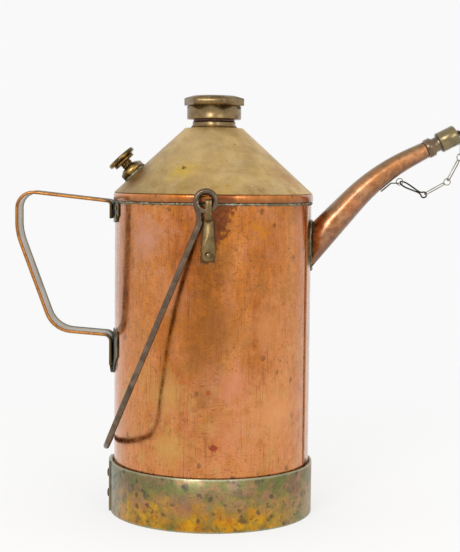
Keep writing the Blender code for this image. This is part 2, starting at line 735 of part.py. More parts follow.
def make_filler(colours):
    spigot = NECK_HOLE - FIT_GAP
    neck = turned("filler_neck", [
        (NECK_CORE - NECK_EDGE, NECK_TOP),
        (NECK_CORE, NECK_TOP - NECK_EDGE),
        (NECK_CORE, NECK_SHOULDER),
        (NECK_SHOULDER_RADIUS, NECK_SHOULDER),
        (NECK_BEAD_RADIUS, NECK_FOOT + NECK_BEAD_RISE),
        (NECK_WAIST_RADIUS, NECK_FOOT + NECK_WAIST_RISE),
        (NECK_FOOT_RADIUS, NECK_FOOT),
        (spigot, NECK_FOOT),
        (spigot, NECK_FOOT - NECK_SPIGOT),
        (NECK_BORE, NECK_FOOT - NECK_SPIGOT),
        (NECK_BORE, NECK_TOP),
    ], MIDDLE_STEPS, colours["brass"])
    join(neck, thread("neck_thread", NECK_CORE, CAP_RIDGE, CAP_PITCH, CAP_MALE_TURNS,
                      CAP_THREAD_LOW, steps=THREAD_STEPS))

    crest = NECK_CORE + CAP_RIDGE + FIT_GAP
    turned("filler_cap_seal", [
        (CAP_SEAL_RADIUS, CAP_SEAL_LOW + CAP_SEAL_WALL),
        (CAP_SEAL_RADIUS, CAP_SEAL_LOW),
        (crest, CAP_SEAL_LOW),
        (crest, CAP_SEAL_LOW + CAP_SEAL_WALL),
    ], MIDDLE_STEPS, colours["leather"])

    cap = turned("filler_cap", [
        (0, CAP_TOP),
        (CAP_CROWN_RADIUS, CAP_TOP),
        (CAP_FLANGE_RADIUS, CAP_FLANGE_TOP),
        (CAP_FLANGE_RADIUS, CAP_FLANGE_LOW),
        (0, CAP_FLANGE_LOW),
    ], MIDDLE_STEPS, colours["brass"])
    corner = CAP_ACROSS_FLATS / 2 / cos(radians(30))
    keep(cap, prism("cap_flats", corner, 6, CAP_RIM, CAP_TOP + CUT_OVERRUN,
                    CAP_TURN - radians(60)))
    groove = CAP_SKIRT_RADIUS - CAP_GROOVE
    join(cap, turned("cap_skirt", [
        (0, CAP_FLANGE_LOW + UNION_SINK),
        (groove, CAP_FLANGE_LOW + UNION_SINK),
        (groove, CAP_FLANGE_LOW - CAP_GROOVE),
        (CAP_SKIRT_RADIUS, CAP_FLANGE_LOW - CAP_GROOVE),
        (CAP_SKIRT_RADIUS, CAP_RIM + CAP_EDGE),
        (CAP_SKIRT_RADIUS - CAP_EDGE, CAP_RIM),
        (0, CAP_RIM),
    ], MIDDLE_STEPS, None, helper=True))
    ceiling = CAP_TOP - CAP_ROOF
    cut(cap, rod_cutter("cap_bore", CAP_BORE, (0, 0, CAP_RIM - CUT_OVERRUN),
                        (0, 0, ceiling), MIDDLE_STEPS))
    join(cap, thread("cap_thread", CAP_BORE, CAP_RIDGE, CAP_PITCH, CAP_FEMALE_TURNS,
                     CAP_THREAD_LOW + CAP_PITCH / 2, steps=THREAD_STEPS))


# Vent

def make_vent(colours):
    half = VENT_ACROSS_CORNERS / 2
    spigot = VENT_HOLE - FIT_GAP
    boss = turned("vent_boss", [
        (VENT_BOSS_TOP, VENT_BOSS_HEIGHT),
        (half, VENT_BOSS_SHOULDER),
        (half, FIT_GAP),
        (spigot, FIT_GAP),
        (spigot, -VENT_SPIGOT),
        (VENT_BORE, -VENT_SPIGOT),
        (VENT_BORE, VENT_BOSS_HEIGHT),
    ], SMALL_STEPS, colours["dark"], VENT_PLACE)
    keep(boss, prism("boss_flats", half, 6, -VENT_SPIGOT - CUT_OVERRUN,
                     VENT_BOSS_HEIGHT + CUT_OVERRUN, radians(12), VENT_PLACE))
    male_low = VENT_BOSS_SHOULDER - VENT_PITCH
    join(boss, thread("boss_thread", VENT_BORE, VENT_RIDGE, VENT_PITCH, VENT_FEMALE_TURNS,
                      male_low + VENT_PITCH / 2, VENT_PLACE))

    low = VENT_KNOB_LOW
    notch = low + VENT_DISC_HEIGHT
    flange = notch + VENT_NOTCH_HEIGHT
    top = flange + VENT_KNOB_HEIGHT
    edge = VENT_KNOB_EDGE
    tip_low = VENT_TIP_TOP - VENT_TIP_HEIGHT
    screw = turned("vent_screw", [
        (0, top + edge),
        (VENT_KNOB_RADIUS - 2 * edge, top),
        (VENT_KNOB_RADIUS, top - edge),
        (VENT_KNOB_RADIUS, flange + edge),
        (VENT_KNOB_RADIUS - edge, flange),
        (VENT_NOTCH_RADIUS, flange),
        (VENT_NOTCH_RADIUS, notch),
        (VENT_DISC_RADIUS, notch),
        (VENT_DISC_RADIUS, low),
        (VENT_CORE, low),
        (VENT_CORE, VENT_WASHER_TOP + FIT_GAP),
        (VENT_TIP_RADIUS, VENT_WASHER_TOP + FIT_GAP),
        (VENT_TIP_RADIUS, VENT_TIP_TOP),
        (VENT_TIP_HEAD, VENT_TIP_TOP),
        (VENT_TIP_HEAD, tip_low),
        (0, tip_low),
    ], SMALL_STEPS, colours["dark"], VENT_PLACE)
    turns = int((low - VENT_RIDGE - male_low) / VENT_PITCH)
    join(screw, thread("vent_thread", VENT_CORE, VENT_RIDGE, VENT_PITCH, turns,
                       male_low, VENT_PLACE))

    hole = VENT_TIP_RADIUS + FIT_GAP
    turned("vent_valve_washer", [
        (VENT_WASHER_RADIUS, VENT_WASHER_TOP),
        (VENT_WASHER_RADIUS, VENT_WASHER_TOP - VENT_WASHER_HEIGHT),
        (hole, VENT_WASHER_TOP - VENT_WASHER_HEIGHT),
        (hole, VENT_WASHER_TOP),
    ], SMALL_STEPS, colours["leather"], VENT_PLACE)


# Bail and lugs

def bail_jog(share):
    """A point of the arm between its eye and its straight run, in the bail's own plane."""
    eye = Matrix.Rotation(-BAIL_LEAN, 2) @ Vector((-BAIL_EYE_OFFSET, 0))
    start = eye + Matrix.Rotation(BAIL_LEAN, 2) @ Vector((-BAIL_EYE, 0))
    across = start.x * (1 + cos(pi * share)) / 2
    down = start.y + (-BAIL_SHANK - start.y) * share
    return across, down


def make_bail(colours):
    jog_shares = (0, 0.25, 0.5, 0.75)
    jog = [bail_jog(share) for share in jog_shares]
    side = BAIL_SPREAD
    bow_shares = (0.7, 0.5, 0.25, 0, -0.25, -0.5, -0.7)
    bow = [(side * s, -BAIL_LENGTH - BAIL_BOW * (1 - s * s)) for s in bow_shares]
    flat = rounded([(side, -BAIL_SHANK), (side, -BAIL_LENGTH), bow[0]], [BAIL_CORNER], 7)
    flat += bow[1:-1]
    flat += rounded([bow[-1], (-side, -BAIL_LENGTH), (-side, -BAIL_SHANK)], [BAIL_CORNER], 7)
    points = [(x, side, z) for x, z in jog]
    points += [(0, y, z) for y, z in flat]
    points += [(x, -side, z) for x, z in reversed(jog)]
    bail = wire("bail", points, BAIL_WIRE, colours["steel"], sides=3, matrix=BAIL_PLACE)
    eye = BAIL_PLACE.inverted() @ (PIVOT + Vector((-BAIL_EYE_OFFSET, 0, 0)))
    for name, y in (("front", -side), ("back", side)):
        ring = [(eye.x + a, y, eye.z + b)
                for a, b in arc((0, 0), BAIL_EYE, 0, 2 * pi, 28)[:-1]]
        join(bail, wire("bail_eye_" + name, ring, BAIL_WIRE, None, closed=True, sides=3,
                        matrix=BAIL_PLACE, helper=True))


def make_lugs(colours):
    ring_inside = BAIL_SPREAD - BAIL_WIRE - FIT_GAP
    ring_outside = BAIL_SPREAD + BAIL_WIRE + FIT_GAP
    back = LUG_BACK + FIT_GAP
    clear = SHOULDER_RADIUS + FIT_GAP
    bar_low = PIVOT.z - LOOP_WALL / 2
    bar_high = PIVOT.z + LOOP_WALL / 2
    hole_low = PIVOT.z - LOOP_DEPTH
    low = hole_low - LOOP_WALL
    far = ring_outside + LOOP_WALL
    bend = BODY_TOP - UNION_SINK
    outer = rounded(
        [(back, low), (far, low), (far, bar_high), (clear, bar_high), (clear, bend),
         (back, bend - 2 * (clear - back))],
        [2 * LOOP_ROUND, LOOP_ROUND, LOOP_EDGE, LOOP_EDGE], 4)
    inner = [(ring_inside, hole_low), (ring_outside, hole_low), (ring_outside, bar_low),
             (ring_inside, bar_low)]
    round_end = LUG_BOTTOM_WIDTH / 2
    half_neck = LUG_NECK_WIDTH / 2
    front = arc((0, LUG_BOTTOM + round_end), round_end, radians(180), radians(360), 12)
    front += [(half_neck, LUG_NECK), (half_neck - LOOP_EDGE, LUG_NECK + LOOP_EDGE),
              (LOOP_EDGE - half_neck, LUG_NECK + LOOP_EDGE), (-half_neck, LUG_NECK)]
    for name, point, outwards in lug_side_points():
        side = outwards.y
        across = Matrix.Translation((BAIL_X, side * (LUG_BACK + LUG_WALL / 2), 0)) @ ALONG_Y
        lug = flat_piece("bail_lug_" + name, [front], LUG_WALL / 2, colours["solder"], across)
        if side > 0:
            sideways = Matrix.Translation((BAIL_X, 0, 0)) @ ALONG_X
        else:
            sideways = Matrix.Translation((BAIL_X, 0, 0)) @ Matrix.Rotation(pi, 4, "Z") @ ALONG_X
        loop = flat_piece("loop_" + name, [outer, inner], LOOP_WIDTH / 2, None, sideways,
                          helper=True)
        soften = loop.modifiers.new("edges", "BEVEL")
        soften.width = LOOP_EDGE
        soften.segments = 1
        soften.limit_method = "ANGLE"
        soften.angle_limit = radians(50)
        join(lug, loop)
        head = LUG_BACK + LUG_WALL + FIT_GAP
        cut(lug, rivet_hole("lug_plate_hole_" + name, point, outwards, LUG_RIVET_SHANK,
                            BODY_INNER, head + CUT_OVERRUN))
        grip = head - (BODY_INNER - FIT_GAP)
        rivet("lug_rivet_" + name, LUG_RIVET, grip, placed(point + outwards * head, outwards),
              colours["solder"])


# Handle

def make_handle(colours):
    out = -BODY_RADIUS - HANDLE_OUT
    elbow = -BODY_RADIUS - HANDLE_ELBOW
    top = BODY_TOP - HANDLE_TOP_DROP
    path = rounded(
        [(HANDLE_X, top - HANDLE_TOP_TONGUE), (HANDLE_X, top),
         (out, BODY_TOP + HANDLE_OUT_RISE), (out, BODY_TOP - HANDLE_BACK_DROP),
         (elbow, BODY_TOP - HANDLE_ELBOW_DROP),
         (HANDLE_X, HANDLE_LOW), (HANDLE_X, HANDLE_LOW - HANDLE_LOW_TONGUE)],
        [HANDLE_TOP_RADIUS, HANDLE_OUT_RADIUS, HANDLE_BACK_RADIUS, HANDLE_ELBOW_RADIUS,
         HANDLE_LOW_RADIUS],
        HANDLE_ARC_STEPS)
    section = bpy.data.curves.new("handle_section", "CURVE")
    section.dimensions = "2D"
    spline = section.splines.new("POLY")
    turn = pi / 2 - asin(HANDLE_WEB / 2 / HANDLE_BEAD)
    upper = arc((0, HANDLE_HALF_WIDTH), HANDLE_BEAD, -turn, pi + turn, 8)
    lower = arc((0, -HANDLE_HALF_WIDTH), HANDLE_BEAD, pi - turn, 2 * pi + turn, 8)
    outline = upper + lower
    spline.points.add(len(outline) - 1)
    for point, (a, b) in zip(spline.points, outline):
        point.co = (a, b, 0, 1)
    spline.use_cyclic_u = True
    guide = bpy.data.objects.new("handle_section", section)
    bpy.data.collections[HELPERS].objects.link(guide)
    hide(guide)
    curve = bpy.data.curves.new("handle", "CURVE")
    curve.dimensions = "2D"
    curve.fill_mode = "NONE"
    curve.bevel_mode = "OBJECT"
    curve.bevel_object = guide
    curve.use_fill_caps = True
    spline = curve.splines.new("POLY")
    spline.points.add(len(path) - 1)
    for point, (a, b) in zip(spline.points, path):
        point.co = (a, b, 0, 1)
    handle = mesh_of_curve("handle", curve, colours["strip"], ALONG_Y, False)
    width = HANDLE_HALF_WIDTH + HANDLE_BEAD
    over = width + CUT_OVERRUN
    low = HANDLE_LOW - HANDLE_LOW_TONGUE
    centre = low + width
    end = arc((0, centre), width, 0, -pi, 14)
    end += [(-over, centre), (-over, centre - over), (over, centre - over), (over, centre)]
    cut(handle, flat_piece("tongue_end", [end], HANDLE_WEB + HANDLE_BEAD, None,
                           Matrix.Translation((HANDLE_X, 0, 0)) @ ALONG_X, helper=True))


def make_feet(colours):
    top_half = FOOT_OUTER * sin(FOOT_TOP_HALF_ANGLE)
    low_half = FOOT_OUTER * sin(FOOT_LOW_HALF_ANGLE)
    corner = FOOT_TOP_HEIGHT / 2
    top_outline = [
        (-top_half - CUT_OVERRUN, FOOT_TOP_HIGH + CUT_OVERRUN),
        (-top_half - CUT_OVERRUN, FOOT_TOP_HIGH - corner),
        (-top_half + corner, FOOT_TOP_LOW),
        (top_half - corner, FOOT_TOP_LOW),
        (top_half + CUT_OVERRUN, FOOT_TOP_HIGH - corner),
        (top_half + CUT_OVERRUN, FOOT_TOP_HIGH + CUT_OVERRUN),
    ]
    low_outline = [
        (-low_half - CUT_OVERRUN, FOOT_LOW_HIGH + CUT_OVERRUN),
        (-low_half - CUT_OVERRUN, FOOT_LOW_HIGH - FOOT_LOW_SIDE),
        (-FOOT_LOW_POINT, FOOT_LOW_LOW),
        (FOOT_LOW_POINT, FOOT_LOW_LOW),
        (low_half + CUT_OVERRUN, FOOT_LOW_HIGH - FOOT_LOW_SIDE),
        (low_half + CUT_OVERRUN, FOOT_LOW_HIGH + CUT_OVERRUN),
    ]
    for name, half, low, high, outline in (
        ("top", FOOT_TOP_HALF_ANGLE, FOOT_TOP_LOW, FOOT_TOP_HIGH, top_outline),
        ("bottom", FOOT_LOW_HALF_ANGLE, FOOT_LOW_LOW, FOOT_LOW_HIGH, low_outline),
    ):
        band = (arc((0, 0), FOOT_OUTER, pi - half, pi + half, BAND_STEPS)
                + arc((0, 0), FOOT_RADIUS, pi + half, pi - half, BAND_STEPS))
        foot = flat_piece("handle_foot_" + name, [band], (high - low) / 2, colours["solder"],
                          Matrix.Translation((0, 0, (high + low) / 2)))
        keep(foot, flat_piece("foot_outline_" + name, [outline], BODY_RADIUS / 2, None,
                              Matrix.Translation((-BODY_RADIUS, 0, 0)) @ ALONG_X,
                              helper=True))
        if name == "bottom":
            continue
        head = FOOT_OUTER + FIT_GAP
        grip = head - (BODY_INNER - FIT_GAP)
        for i, (spot, outwards) in enumerate(handle_rivet_points(), 1):
            cut(foot, rivet_hole(f"foot_hole_{i}", spot, outwards, HANDLE_RIVET_SHANK,
                                 BODY_INNER, head + CUT_OVERRUN))
            rivet(f"handle_rivet_{i}", HANDLE_RIVET, grip,
                  placed(spot + outwards * head, outwards), colours["dark"])


# Spout

def spout_run(end, extra):
    """Points and radius shares of the spout from inside the body to an end along it."""
    back = 2 * SPOUT_ROOT_RADIUS / tan(SPOUT_HEADING)
    stops = [-back, 0, SPOUT_STRAIGHT / 2]
    stops += [SPOUT_STRAIGHT + SPOUT_ARC * i / SPOUT_POINTS for i in range(SPOUT_POINTS + 1)]
    stops = [stop for stop in stops if stop < end] + [end]
    points = [spout_point(stop)[0] for stop in stops]
    shares = [(spout_radius(stop) + extra) / SPOUT_ROOT_RADIUS for stop in stops]
    return points, shares


def make_spout_cutter():
    points, shares = spout_run(SPOUT_STRAIGHT / 2, FIT_GAP)
    return wire("spout_hole", points, SPOUT_ROOT_RADIUS, None, sides=10, radii=shares,
                helper=True)


def make_spout(colours):
    points, shares = spout_run(SPOUT_LENGTH, 0)
    tube = wire("spout_tube", points, SPOUT_ROOT_RADIUS, colours["copper"], sides=10,
                radii=shares)
    inner_points, inner_shares = spout_run(SPOUT_LENGTH + CUT_OVERRUN, -SHEET_WALL)
    inner_points[0] -= (inner_points[1] - inner_points[0]).normalized() * CUT_OVERRUN
    cut(tube, wire("spout_bore", inner_points, SPOUT_ROOT_RADIUS, None, sides=10,
                   radii=inner_shares, helper=True))
    cut(tube, rod_cutter("spout_inner_end", SPOUT_INNER_END, (0, 0, BODY_BOTTOM),
                         (0, 0, BODY_TOP), LARGE_STEPS))


def make_tip(colours):
    flange_low = FIT_GAP
    spigot = SPOUT_TIP_RADIUS - SHEET_WALL - FIT_GAP
    collar = turned("spout_collar", [
        (TIP_CORE - COLLAR_EDGE, COLLAR_END),
        (TIP_CORE, COLLAR_END - COLLAR_EDGE),
        (TIP_CORE, COLLAR_SHOULDER),
        (COLLAR_RADIUS, COLLAR_HEIGHT),
        (COLLAR_RADIUS, flange_low + COLLAR_EDGE),
        (COLLAR_RADIUS - COLLAR_EDGE, flange_low),
        (spigot, flange_low),
        (spigot, -COLLAR_SPIGOT),
        (COLLAR_BORE, -COLLAR_SPIGOT),
        (COLLAR_BORE, COLLAR_END),
    ], SMALL_STEPS, colours["brass"], TIP_PLACE)
    thread_low = TIP_RIM + TIP_PITCH / 2
    join(collar, thread("collar_thread", TIP_CORE, TIP_RIDGE, TIP_PITCH, TIP_TURNS,
                        thread_low, TIP_PLACE))

    foot = TIP_CAP_END + TIP_STUD_FOOT
    waist = foot + TIP_WAIST_LENGTH
    button = waist + TIP_BUTTON_HEIGHT
    edge = TIP_CAP_EDGE
    small = COLLAR_EDGE
    cap = turned("spout_cap", [
        (0, button),
        (TIP_STUD_RADIUS - small, button),
        (TIP_STUD_RADIUS, button - small),
        (TIP_STUD_RADIUS, waist),
        (TIP_WAIST_RADIUS, waist),
        (TIP_WAIST_RADIUS, foot),
        (TIP_STUD_RADIUS, foot),
        (TIP_STUD_RADIUS, TIP_CAP_END),
        (TIP_CAP_RADIUS - edge, TIP_CAP_END),
        (TIP_CAP_RADIUS - edge / 4, TIP_CAP_END - edge / 2),
        (TIP_CAP_RADIUS, TIP_CAP_END - edge),
        (TIP_CAP_RADIUS, TIP_RIM + small),
        (TIP_CAP_RADIUS - small, TIP_RIM),
        (TIP_CAP_BORE, TIP_RIM),
        (TIP_CAP_BORE, TIP_CAP_CEILING),
        (0, TIP_CAP_CEILING),
    ], SMALL_STEPS, colours["brass"], TIP_PLACE)
    join(cap, thread("tip_cap_thread", TIP_CAP_BORE, TIP_RIDGE, TIP_PITCH,
                     TIP_FEMALE_TURNS, thread_low + TIP_PITCH / 2, TIP_PLACE))
    radius = TIP_CAP_BORE - 2 * FIT_GAP
    turned("spout_cap_seal", [
        (0, TIP_SEAL_LOW + TIP_SEAL_WALL),
        (radius, TIP_SEAL_LOW + TIP_SEAL_WALL),
        (radius, TIP_SEAL_LOW),
        (0, TIP_SEAL_LOW),
    ], SMALL_STEPS, colours["leather"], TIP_PLACE)


# Chain

def anchor_points():
    """The strip's middle line, from its soldered foot to its free end, and its hole."""
    foot = SPOUT_LENGTH - ANCHOR_FROM_TIP
    foot_shares = (0, 0.5, 1)
    points = []
    for share in foot_shares:
        along = foot + ANCHOR_FOOT * share
        point, heading = spout_point(along)
        below = Vector((sin(heading), 0, -cos(heading)))
        points.append(point + below * (spout_radius(along) + 2 * FIT_GAP + ANCHOR_WALL / 2))
    hole = points[-1] + Vector((ANCHOR_REACH, 0, 0))
    return points + [hole + Vector((ANCHOR_END, 0, 0))], hole


def swivel_centre():
    """Where the loop's plane crosses the stud's axis."""
    return TIP_PLACE @ Vector((0, 0, TIP_CAP_END + TIP_STUD_FOOT + TIP_WAIST_LENGTH / 2))


def chain_eyes():
    """Centres of the ring and of each link's eye, from the anchor to the swivel."""
    hole = anchor_points()[1]
    heading = Vector((cos(CHAIN_RING_HEADING), 0, sin(CHAIN_RING_HEADING)))
    start = hole + heading * CHAIN_RING_RADIUS
    end = swivel_centre() - Vector((0, 0, SWIVEL_DROP))
    span = end - start
    end -= span.normalized() * SWIVEL_PULL
    span = end - start
    across = Vector((-span.z, 0, span.x))
    eyes = [start + span * a + across * b for a, b in LINK_EYE_SHARES]
    return [start] + eyes + [end]


def make_anchor(colours):
    points, hole = anchor_points()
    strip = [(point.x, point.z) for point in points]
    half = ANCHOR_WALL / 2
    above, below = [], []
    for i, point in enumerate(strip):
        before = Vector(strip[max(i - 1, 0)])
        after = Vector(strip[min(i + 1, len(strip) - 1)])
        along = (after - before).normalized()
        across = Vector((-along.y, along.x)) * half
        above.append(Vector(point) + across)
        below.append(Vector(point) - across)
    anchor = flat_piece("chain_anchor", [below + above[::-1]], ANCHOR_WIDTH / 2,
                        colours["dark"], ALONG_Y)
    cut(anchor, rod_cutter("anchor_hole", ANCHOR_HOLE, hole - Vector((0, 0, CUT_OVERRUN)),
                           hole + Vector((0, 0, CUT_OVERRUN))))
    ring = chain_eyes()[0] - hole
    circle = [(ring.x + a, 0, ring.z + b)
              for a, b in arc((0, 0), CHAIN_RING_RADIUS, 0, 2 * pi, FINE_STEPS)[:-1]]
    wire("chain_ring", circle, CHAIN_RING_WIRE, colours["wire"], closed=True, sides=1,
         matrix=Matrix.Translation(hole))


def make_link(number, start, start_radius, end, end_radius, material):
    """A twisted wire link: a narrow loop on the eye before it, and an eye of its own."""
    along = (end - start).normalized()
    in_plane = Vector((-along.z, 0, along.x))
    across = in_plane * cos(LINK_TILT) + Vector((0, 1, 0)) * sin(LINK_TILT)
    near = start_radius - LINK_REACH
    far = (end - start).length - end_radius
    middle = (near + far) / 2
    half = (far - near) / 2
    flat = half - LINK_HALF_WIDTH
    loop = []
    for turn in [radians(a) for a in (-90, -45, 0, 45, 90, 90, 135, 180, 225, 270)]:
        shift = flat if len(loop) < 5 else -flat
        narrow = along * (middle + shift + LINK_HALF_WIDTH * cos(turn))
        loop.append(narrow + across * (LINK_HALF_WIDTH * sin(turn)))
    place = Matrix.Translation(start)
    link = wire(f"chain_link_{number}", loop, CHAIN_WIRE, material, closed=True, sides=1,
                matrix=place)
    centre = end - start
    eye = [(centre.x + a, 0, centre.z + b)
           for a, b in arc((0, 0), end_radius, 0, 2 * pi, FINE_STEPS)[:-1]]
    join(link, wire(f"link_eye_{number}", eye, CHAIN_WIRE, None, closed=True, sides=1,
                    matrix=place, helper=True))


def make_chain(colours):
    make_anchor(colours)
    eyes = chain_eyes()
    radii = (CHAIN_RING_RADIUS,) + LINK_EYES
    for i in range(len(LINK_EYES)):
        make_link(i + 1, eyes[i], radii[i], eyes[i + 1], radii[i + 1], colours["wire"])
    centre = swivel_centre()
    top = (TIP_WAIST_RADIUS + FIT_GAP + SWIVEL_WIRE) / cos(TIP_HEADING)
    half = SWIVEL_HALF_WIDTH
    oval = arc((0, top - half), half, 0, pi, 8) + arc((0, half - SWIVEL_DROP), half, pi, 2 * pi, 8)
    wire("cap_swivel", [(0, a, b) for a, b in oval], SWIVEL_WIRE, colours["wire"],
         closed=True, sides=1, matrix=Matrix.Translation(centre))


def main():
    start_scene()
    colours = make_materials()
    make_body(colours)
    make_base(colours)
    make_shoulder(colours)
    make_cone(colours)
    make_filler(colours)
    make_vent(colours)
    make_bail(colours)
    make_lugs(colours)
    make_handle(colours)
    make_feet(colours)
    make_spout(colours)
    make_tip(colours)
    make_chain(colours)


main()
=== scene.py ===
import json
from math import cos, pi, radians, sin, sqrt

import bmesh
import bpy
from mathutils import Matrix, Vector, noise


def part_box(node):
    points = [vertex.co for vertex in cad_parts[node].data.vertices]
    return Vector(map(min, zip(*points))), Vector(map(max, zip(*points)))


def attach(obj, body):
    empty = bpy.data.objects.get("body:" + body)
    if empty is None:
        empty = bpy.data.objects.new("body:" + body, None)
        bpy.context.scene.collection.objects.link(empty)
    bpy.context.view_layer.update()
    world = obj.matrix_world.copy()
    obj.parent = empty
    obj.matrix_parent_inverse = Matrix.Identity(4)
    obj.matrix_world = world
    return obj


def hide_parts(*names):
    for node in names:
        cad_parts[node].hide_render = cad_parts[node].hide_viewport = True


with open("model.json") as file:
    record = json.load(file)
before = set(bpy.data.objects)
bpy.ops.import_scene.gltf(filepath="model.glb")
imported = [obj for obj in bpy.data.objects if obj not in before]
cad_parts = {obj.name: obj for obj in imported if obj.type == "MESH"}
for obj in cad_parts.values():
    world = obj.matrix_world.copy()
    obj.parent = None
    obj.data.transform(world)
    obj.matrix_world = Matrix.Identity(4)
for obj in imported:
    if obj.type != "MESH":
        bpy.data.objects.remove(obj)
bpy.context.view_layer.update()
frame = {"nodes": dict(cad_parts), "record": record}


# Camera, at the photograph's height and distance

cameraSettings = {
    "place": (0.01329, -1.0356, 0.2574),
    "down": radians(4.222),
    "roll": radians(0.572),
    "lens": 105.76,        # mm, on a 36 mm wide frame
    "sensor": 36,
    "nearest": 0.05,
}

tilt = cameraSettings["down"]
roll = cameraSettings["roll"]
ahead = Vector((0, cos(tilt), -sin(tilt)))
level = Vector((1, 0, 0))
upright = Vector((0, sin(tilt), cos(tilt)))
right = level * cos(roll) + upright * sin(roll)
up = upright * cos(roll) - level * sin(roll)
cameraData = bpy.data.cameras.new("camera")
cameraData.sensor_fit = "HORIZONTAL"
cameraData.sensor_width = cameraSettings["sensor"]
cameraData.lens = cameraSettings["lens"]
cameraData.clip_start = cameraSettings["nearest"]
camera = bpy.data.objects.new("camera", cameraData)
bpy.context.scene.collection.objects.link(camera)
turn = Matrix((right, up, -ahead)).transposed().to_4x4()
camera.matrix_world = Matrix.Translation(cameraSettings["place"]) @ turn
bpy.context.scene.camera = camera
bpy.context.scene.view_settings.view_transform = "Standard"
print("camera set")


# The can's own shape, which stains, solder and shading follow

canShape = {
    "bodyRadius": 0.075,
    "coneRadius": 0.345,             # that the cone would have at height 0
    "coneSlope": 1.1,                # how fast it narrows going up
    "coneLean": radians(42.44),      # from upright to straight out of the cone
    "spoutHeading": radians(47.36),  # of the spout's foot, up from level
    "tipHeading": radians(27.3),     # of the spout's end, up from level
}


# Helpers

def hexColor(text):
    values = [int(text[i:i + 2], 16) / 255 for i in (1, 3, 5)]
    linear = [v / 12.92 if v <= 0.04045 else ((v + 0.055) / 1.055) ** 2.4 for v in values]
    return (*linear, 1)


def addNode(tree, kind, inputs=None, stops=None, **settings):
    node = tree.nodes.new("ShaderNode" + kind)
    for name, value in settings.items():
        setattr(node, name, value)
    for name, value in (inputs or {}).items():
        if isinstance(value, bpy.types.NodeSocket):
            tree.links.new(value, node.inputs[name])
        else:
            node.inputs[name].default_value = value
    if stops:
        ramp = node.color_ramp
        while len(ramp.elements) < len(stops):
            ramp.elements.new(0.5)
        for element, (position, color) in zip(ramp.elements, stops):
            element.position = position
            element.color = hexColor(color)
    return node


def newMaterial(name):
    material = bpy.data.materials.new(name)
    material.use_nodes = True
    tree = material.node_tree
    return material, tree, tree.nodes["Principled BSDF"], addNode(tree, "TexCoord").outputs["Object"]


def perMetre(millimetres):
    return 1000 / millimetres


# Soft, ragged patches of about a size in mm: low where the noise is under start, high past end
def patches(tree, place, size, start, end, low=0, high=1, seed=0, squeeze=(1, 1, 1), detail=4):
    moved = addNode(tree, "Mapping", {"Vector": place, "Location": (seed, 0, 0), "Scale": squeeze})
    spread = addNode(tree, "TexNoise", {"Vector": moved.outputs["Vector"],
                                        "Scale": perMetre(size), "Detail": detail,
                                        "Roughness": 0.6})
    mask = addNode(tree, "MapRange", {"Value": spread.outputs["Fac"], "From Min": start,
                                      "From Max": end, "To Min": low, "To Max": high})
    return mask.outputs["Result"]


# A value that wanders from low to high, over the range that the noise covers
def wander(tree, place, size, low=0, high=1, seed=0, squeeze=(1, 1, 1), detail=4):
    return patches(tree, place, size, 0.3, 0.7, low, high, seed, squeeze, detail)


# A ramp along one axis, from 0 at start to high at end, with an edge that is ragged by some mm
def reach(tree, place, axis, start, end, high=1, ragged=0, size=8, seed=0):
    value = addNode(tree, "SeparateXYZ", {"Vector": place}).outputs[axis]
    if ragged:
        wobble = wander(tree, place, size, -ragged / 1000, ragged / 1000, seed)
        value = addNode(tree, "Math", {0: value, 1: wobble}, operation="ADD").outputs["Value"]
    ramp = addNode(tree, "MapRange", {"Value": value, "From Min": start, "From Max": end,
                                      "To Min": 0, "To Max": high})
    return ramp.outputs["Result"]


def product(tree, *shares):
    value = shares[0]
    for share in shares[1:]:
        value = addNode(tree, "Math", {0: value, 1: share}, operation="MULTIPLY").outputs["Value"]
    return value


# Small round marks, spaced and sized in mm, only in a share of the places. The outline wavers by
# 0.35 of the radius, and the full shade starts at 0.6 of it.
def spots(tree, place, spacing, size, share, seed=0, squeeze=(1, 1, 1)):
    moved = addNode(tree, "Mapping", {"Vector": place, "Location": (seed, 0, 0), "Scale": squeeze})
    cells = addNode(tree, "TexVoronoi", {"Vector": moved.outputs["Vector"],
                                         "Scale": perMetre(spacing)}, feature="F1")
    uneven = wander(tree, place, size * 0.7, -0.35, 0.35, seed)
    radius = size / spacing / 2
    wobble = addNode(tree, "Math", {0: uneven, 1: radius, 2: cells.outputs["Distance"]},
                     operation="MULTIPLY_ADD")
    mask = addNode(tree, "MapRange", {"Value": wobble.outputs["Value"], "From Min": radius,
                                      "From Max": radius * 0.6, "To Min": 0, "To Max": 1})
    chance = addNode(tree, "SeparateColor", {"Color": cells.outputs["Color"]})
    chosen = addNode(tree, "Math", {0: chance.outputs["Red"], 1: share}, operation="LESS_THAN")
    return product(tree, mask.outputs["Result"], chosen.outputs["Value"])


# Shades that run into each other in clouds of about a size in mm
def clouds(tree, place, shades, size, detail=5, roughness=0.6, distortion=0):
    drift = addNode(tree, "TexNoise", {"Vector": place, "Scale": perMetre(size),
                                       "Detail": detail, "Roughness": roughness,
                                       "Distortion": distortion})
    return addNode(tree, "ValToRGB", {"Fac": drift.outputs["Fac"]}, stops=shades).outputs["Color"]


def paintOver(tree, color, share, shade):
    coat = addNode(tree, "Mix", {0: share, 6: color, 7: hexColor(shade)}, data_type="RGBA")
    return coat.outputs[2]


# Coats over each other, each where its ramps, its patches and its spots all are
def paintCoats(tree, place, color, coats):
    for coat in coats:
        parts = [reach(tree, place, **ramp) for ramp in coat.get("ramps", ())]
        if "patches" in coat:
            parts.append(patches(tree, place, **coat["patches"]))
        if "spots" in coat:
            parts += [spots(tree, place, **coat["spots"]), coat["strength"]]
        color = paintOver(tree, color, product(tree, *parts), coat["shade"])
    return color


